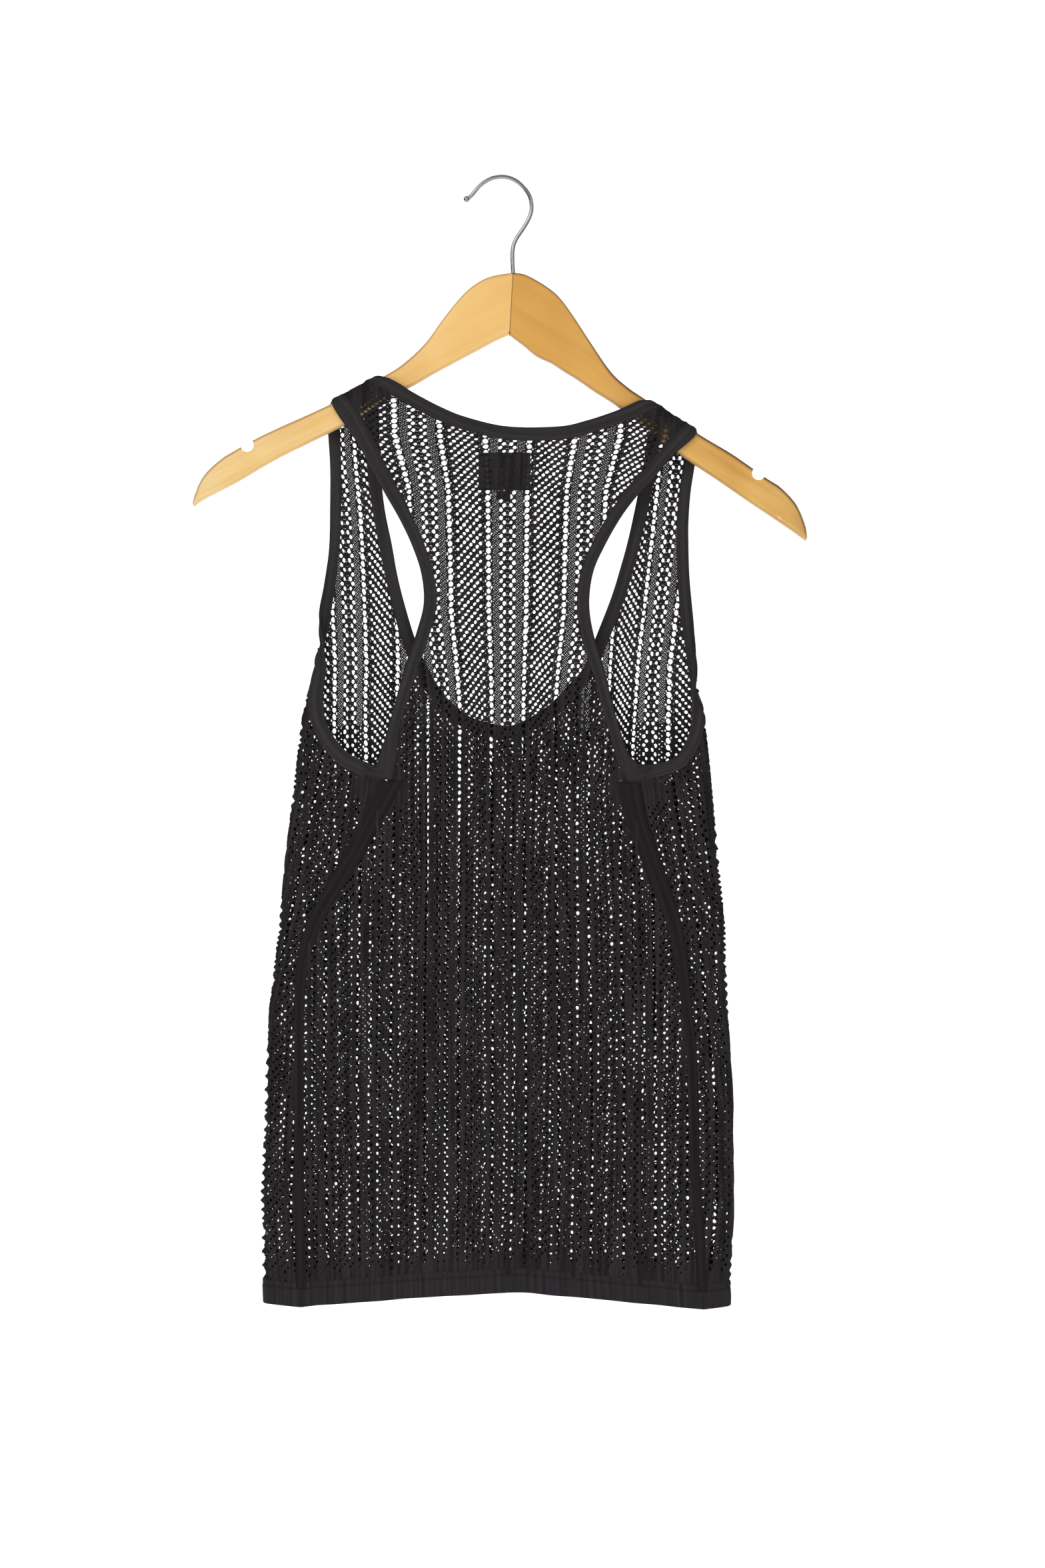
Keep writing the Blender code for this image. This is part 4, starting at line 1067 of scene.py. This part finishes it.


# Each arm: its colours at the mitre, at the end, in the dark streaks and of the painted edge shade, its
# grain's slope, and the share of painted shade on its edges
for name, rows, notch, colours, slope, edge_shade_share in (
    (
        "arm_left",
        ARM_LEFT,
        (-183.6, 0, -193.2),
        ((0.93, 0.575, 0.195), (0.97, 0.72, 0.33), (0.88, 0.52, 0.165), (0.45, 0.21, 0.07)),
        0.52,
        0.6,
    ),
    (
        "arm_right",
        ARM_RIGHT,
        (186.0, 0, -213.6),
        ((0.74, 0.39, 0.085), (0.90, 0.55, 0.16), (0.68, 0.34, 0.069), (0.13, 0.045, 0.016)),
        -0.62,
        1.0,
    ),
):
    arm = wooden_arm(name, rows)
    drilled(arm, ((NOTCH_R, notch, THROUGH), (HOOK_HOLE_R, HOOK_HOLE, PLUMB)))
    arm.data.materials.clear()
    arm.data.materials.append(wood_look("wood " + name, *colours, slope, edge_shade_share))
    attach(arm, "root")
    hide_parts("hanger_" + name)

# A dark strip of painted shade that fills the mitre gap: x and z of its ends, width and depth
GAP_TOP, GAP_FOOT, GAP_WIDTH, GAP_DEPTH = (8.6, -68.7), (6.1, -112.8), 0.6, 11.4
gap_fill = bmesh.new()
bmesh.ops.create_cube(gap_fill, size=1)
for vert in gap_fill.verts:
    x, z = GAP_TOP if vert.co.z > 0 else GAP_FOOT
    vert.co = Vector((x + GAP_WIDTH * vert.co.x, GAP_DEPTH * vert.co.y, z)) * MM
bmesh.ops.bevel(
    gap_fill, geom=gap_fill.edges[:], offset=0.1 * MM, segments=2, profile=0.5, affect="EDGES", material=-1
)
mitre = made_piece("mitre_line", gap_fill, smooth=False)
# Painted shade in the mitre gap, a little mottled
gap_shade_look, place, feed = new_look("painted mitre gap shade", 0.6)
gap_shade_mottle = noise(place, 120.0, 3.0)
feed("Base Color", gap_shade_mottle.mix((0.05, 0.02, 0.01, 1), (0.16, 0.07, 0.03, 1)))
mitre.data.materials.append(gap_shade_look)
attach(mitre, "root")

# ------------------------------------------------------------------------------
# Hook: a swivel hook of chromed wire, bent cold, with a small upset ball at its tip. It is let into the top
# of the mitre.

WIRE_R, WIRE_SIDES, WIRE_SPACING = 1.5, 24, 1.0
BALL_R = 2.2
# x and z along the wire, from its tip down into the wood
HOOK = (
    (-25.1, -14.7), (-22.2, -12.8), (-19.3, -9.4), (-16.4, -6.0), (-12.5, -2.7), (-7.5, 0.1), (-3.2, 1.2),
    (1.4, 1.5), (6.3, 0.6), (11.1, -1.7), (15.1, -5.1), (18.5, -9.0), (20.9, -13.4), (21.9, -18.1),
    (21.8, -22.9), (20.4, -27.8), (17.8, -32.8), (14.9, -37.4), (12.0, -41.6), (9.8, -45.6), (8.5, -49.9),
    (8.1, -54.6), (8.2, -61.5), (8.5, -68.2), (8.1, -79.0),
)
middle = smooth_rows(HOOK, WIRE_SPACING)
bend = np.gradient(middle, axis=0)
bend /= np.linalg.norm(bend, axis=1, keepdims=True)
wire = bmesh.new()
ring, turn = grid_places(wire, len(middle) - 1, WIRE_SIDES)
turn = turn * 2 * math.pi
beside = np.stack([-bend[ring, 1], bend[ring, 0]], 1) * (WIRE_R * np.cos(turn))[:, None]
x, z = (middle[ring] + beside).T
put(wire, np.stack([x, WIRE_R * np.sin(turn), z], 1))
close_ends(wire)
tip = Matrix.Translation(Vector((middle[0][0], 0, middle[0][1])) * MM)
bmesh.ops.create_uvsphere(wire, u_segments=24, v_segments=16, radius=BALL_R * MM, matrix=tip)
bmesh.ops.recalc_face_normals(wire, faces=wire.faces)
hook = made_piece("hook", wire)
chrome_look, place, feed = new_look("chromed wire", 0.18, Metallic=1.0)
stretched = place.node("Mapping", {"Vector": place, "Scale": (1.0, 1.0, 0.15)})
scratch = noise(stretched, 900.0, 4.0)
cloud = noise(place, 60.0, 3.0)
feed("Base Color", cloud.mix((0.26, 0.26, 0.255, 1), (0.46, 0.46, 0.45, 1)))
feed("Roughness", 0.12 + scratch * 0.2)
hook.data.materials.append(chrome_look)
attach(hook, "root")
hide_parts("hanger_hook")

# ------------------------------------------------------------------------------
# Studio: a white floor that curves up into the backdrop, with broad soft lights, two black cards that darken
# the object's edges, and the camera at the photo's angle. Its sizes are in metres.

FLOOR_Z, FLOOR_NEAR, FLOOR_RUN = -1.25, -4.0, 7.0
SWEEP_WIDTH, SWEEP_LENGTH, SWEEP_R, SWEEP_PARTS = 14.0, 12.0, 1.2, 80
PAPER_GLOW, WORLD_LIGHT = 0.52, 0.4
FLAG_X, FLAG_Y, FLAG_Z, FLAG_HEIGHT, FLAG_DEPTH = 1.35, -0.35, -0.2, 1.3, 1.8
WHITE = (1, 1, 1, 1)
# Lamps: name, place, aim, size, power
LAMPS = (
    ("key", (-1.6, -2.4, 1.2), (0, 0, -0.45), 1.8, 39),
    ("fill", (1.9, -2.2, 0.2), (0, 0, -0.45), 1.8, 17),
    ("backdrop_left", (-2.4, 1.6, 0.6), (0.2, 4.2, -0.4), 1.6, 4),
    ("backdrop_right", (2.4, 1.6, 0.6), (-0.2, 4.2, -0.4), 1.6, 4),
)
CAMERA_AT, LENS, SENSOR = (0.0154, -2.2, -0.4379), 69.8, 36

sweep = bmesh.new()
bmesh.ops.create_grid(sweep, x_segments=2, y_segments=SWEEP_PARTS, size=0.5)
for vert in sweep.verts:
    run = (vert.co.y + 0.5) * SWEEP_LENGTH - FLOOR_RUN
    turn = min(max(run, 0) / SWEEP_R, math.pi / 2)
    climb = max(run - SWEEP_R * math.pi / 2, 0)
    vert.co.x *= SWEEP_WIDTH
    vert.co.y = FLOOR_NEAR + FLOOR_RUN + min(run, 0) + SWEEP_R * math.sin(turn)
    vert.co.z = FLOOR_Z + SWEEP_R * (1 - math.cos(turn)) + climb
floor = made_piece("floor", sweep)
paper, place, feed = new_look("white paper", 0.9, Emission_Color=WHITE, Emission_Strength=PAPER_GLOW)
mottle = noise(place, 3.0, 2.0)
feed("Base Color", mottle.mix((0.94, 0.94, 0.94, 1), (0.97, 0.97, 0.97, 1)))
floor.data.materials.append(paper)

world = bpy.data.worlds.new("studio")
world.use_nodes = True
sky = world.node_tree.nodes["Background"].inputs
sky["Color"].default_value = WHITE
sky["Strength"].default_value = WORLD_LIGHT
bpy.context.scene.world = world
flag_look, place, feed = new_look("black flag", 0.9)
weave = noise(place, 30.0, 2.0)
feed("Base Color", weave.mix((0.01, 0.01, 0.01, 1), (0.03, 0.03, 0.03, 1)))
for name, x in (("flag_left", -FLAG_X), ("flag_right", FLAG_X)):
    card = bmesh.new()
    bmesh.ops.create_grid(card, x_segments=1, y_segments=1, size=0.5)
    bmesh.ops.transform(card, matrix=Matrix.Diagonal((FLAG_HEIGHT, FLAG_DEPTH, 1, 1)), verts=card.verts)
    bmesh.ops.rotate(card, matrix=Matrix.Rotation(math.pi / 2, 3, "Y"), verts=card.verts)
    bmesh.ops.translate(card, vec=(x, FLAG_Y, FLAG_Z), verts=card.verts)
    flag = made_piece(name, card, smooth=False)
    flag.data.materials.append(flag_look)
    flag.visible_camera = False
for name, at, aim, size, watts in LAMPS:
    lamp = bpy.data.lights.new(name, "AREA")
    lamp.shape, lamp.size, lamp.energy = "SQUARE", size, watts
    light = bpy.data.objects.new(name, lamp)
    light.location = at
    light.rotation_euler = (Vector(aim) - Vector(at)).to_track_quat("-Z", "Y").to_euler()
    bpy.context.scene.collection.objects.link(light)

lens = bpy.data.cameras.new("camera")
lens.sensor_width, lens.lens = SENSOR, LENS
camera = bpy.data.objects.new("camera", lens)
camera.location = CAMERA_AT
camera.rotation_euler = (math.pi / 2, 0, 0)
bpy.context.scene.collection.objects.link(camera)
bpy.context.scene.camera = camera
bpy.context.scene.view_settings.view_transform = "Standard"
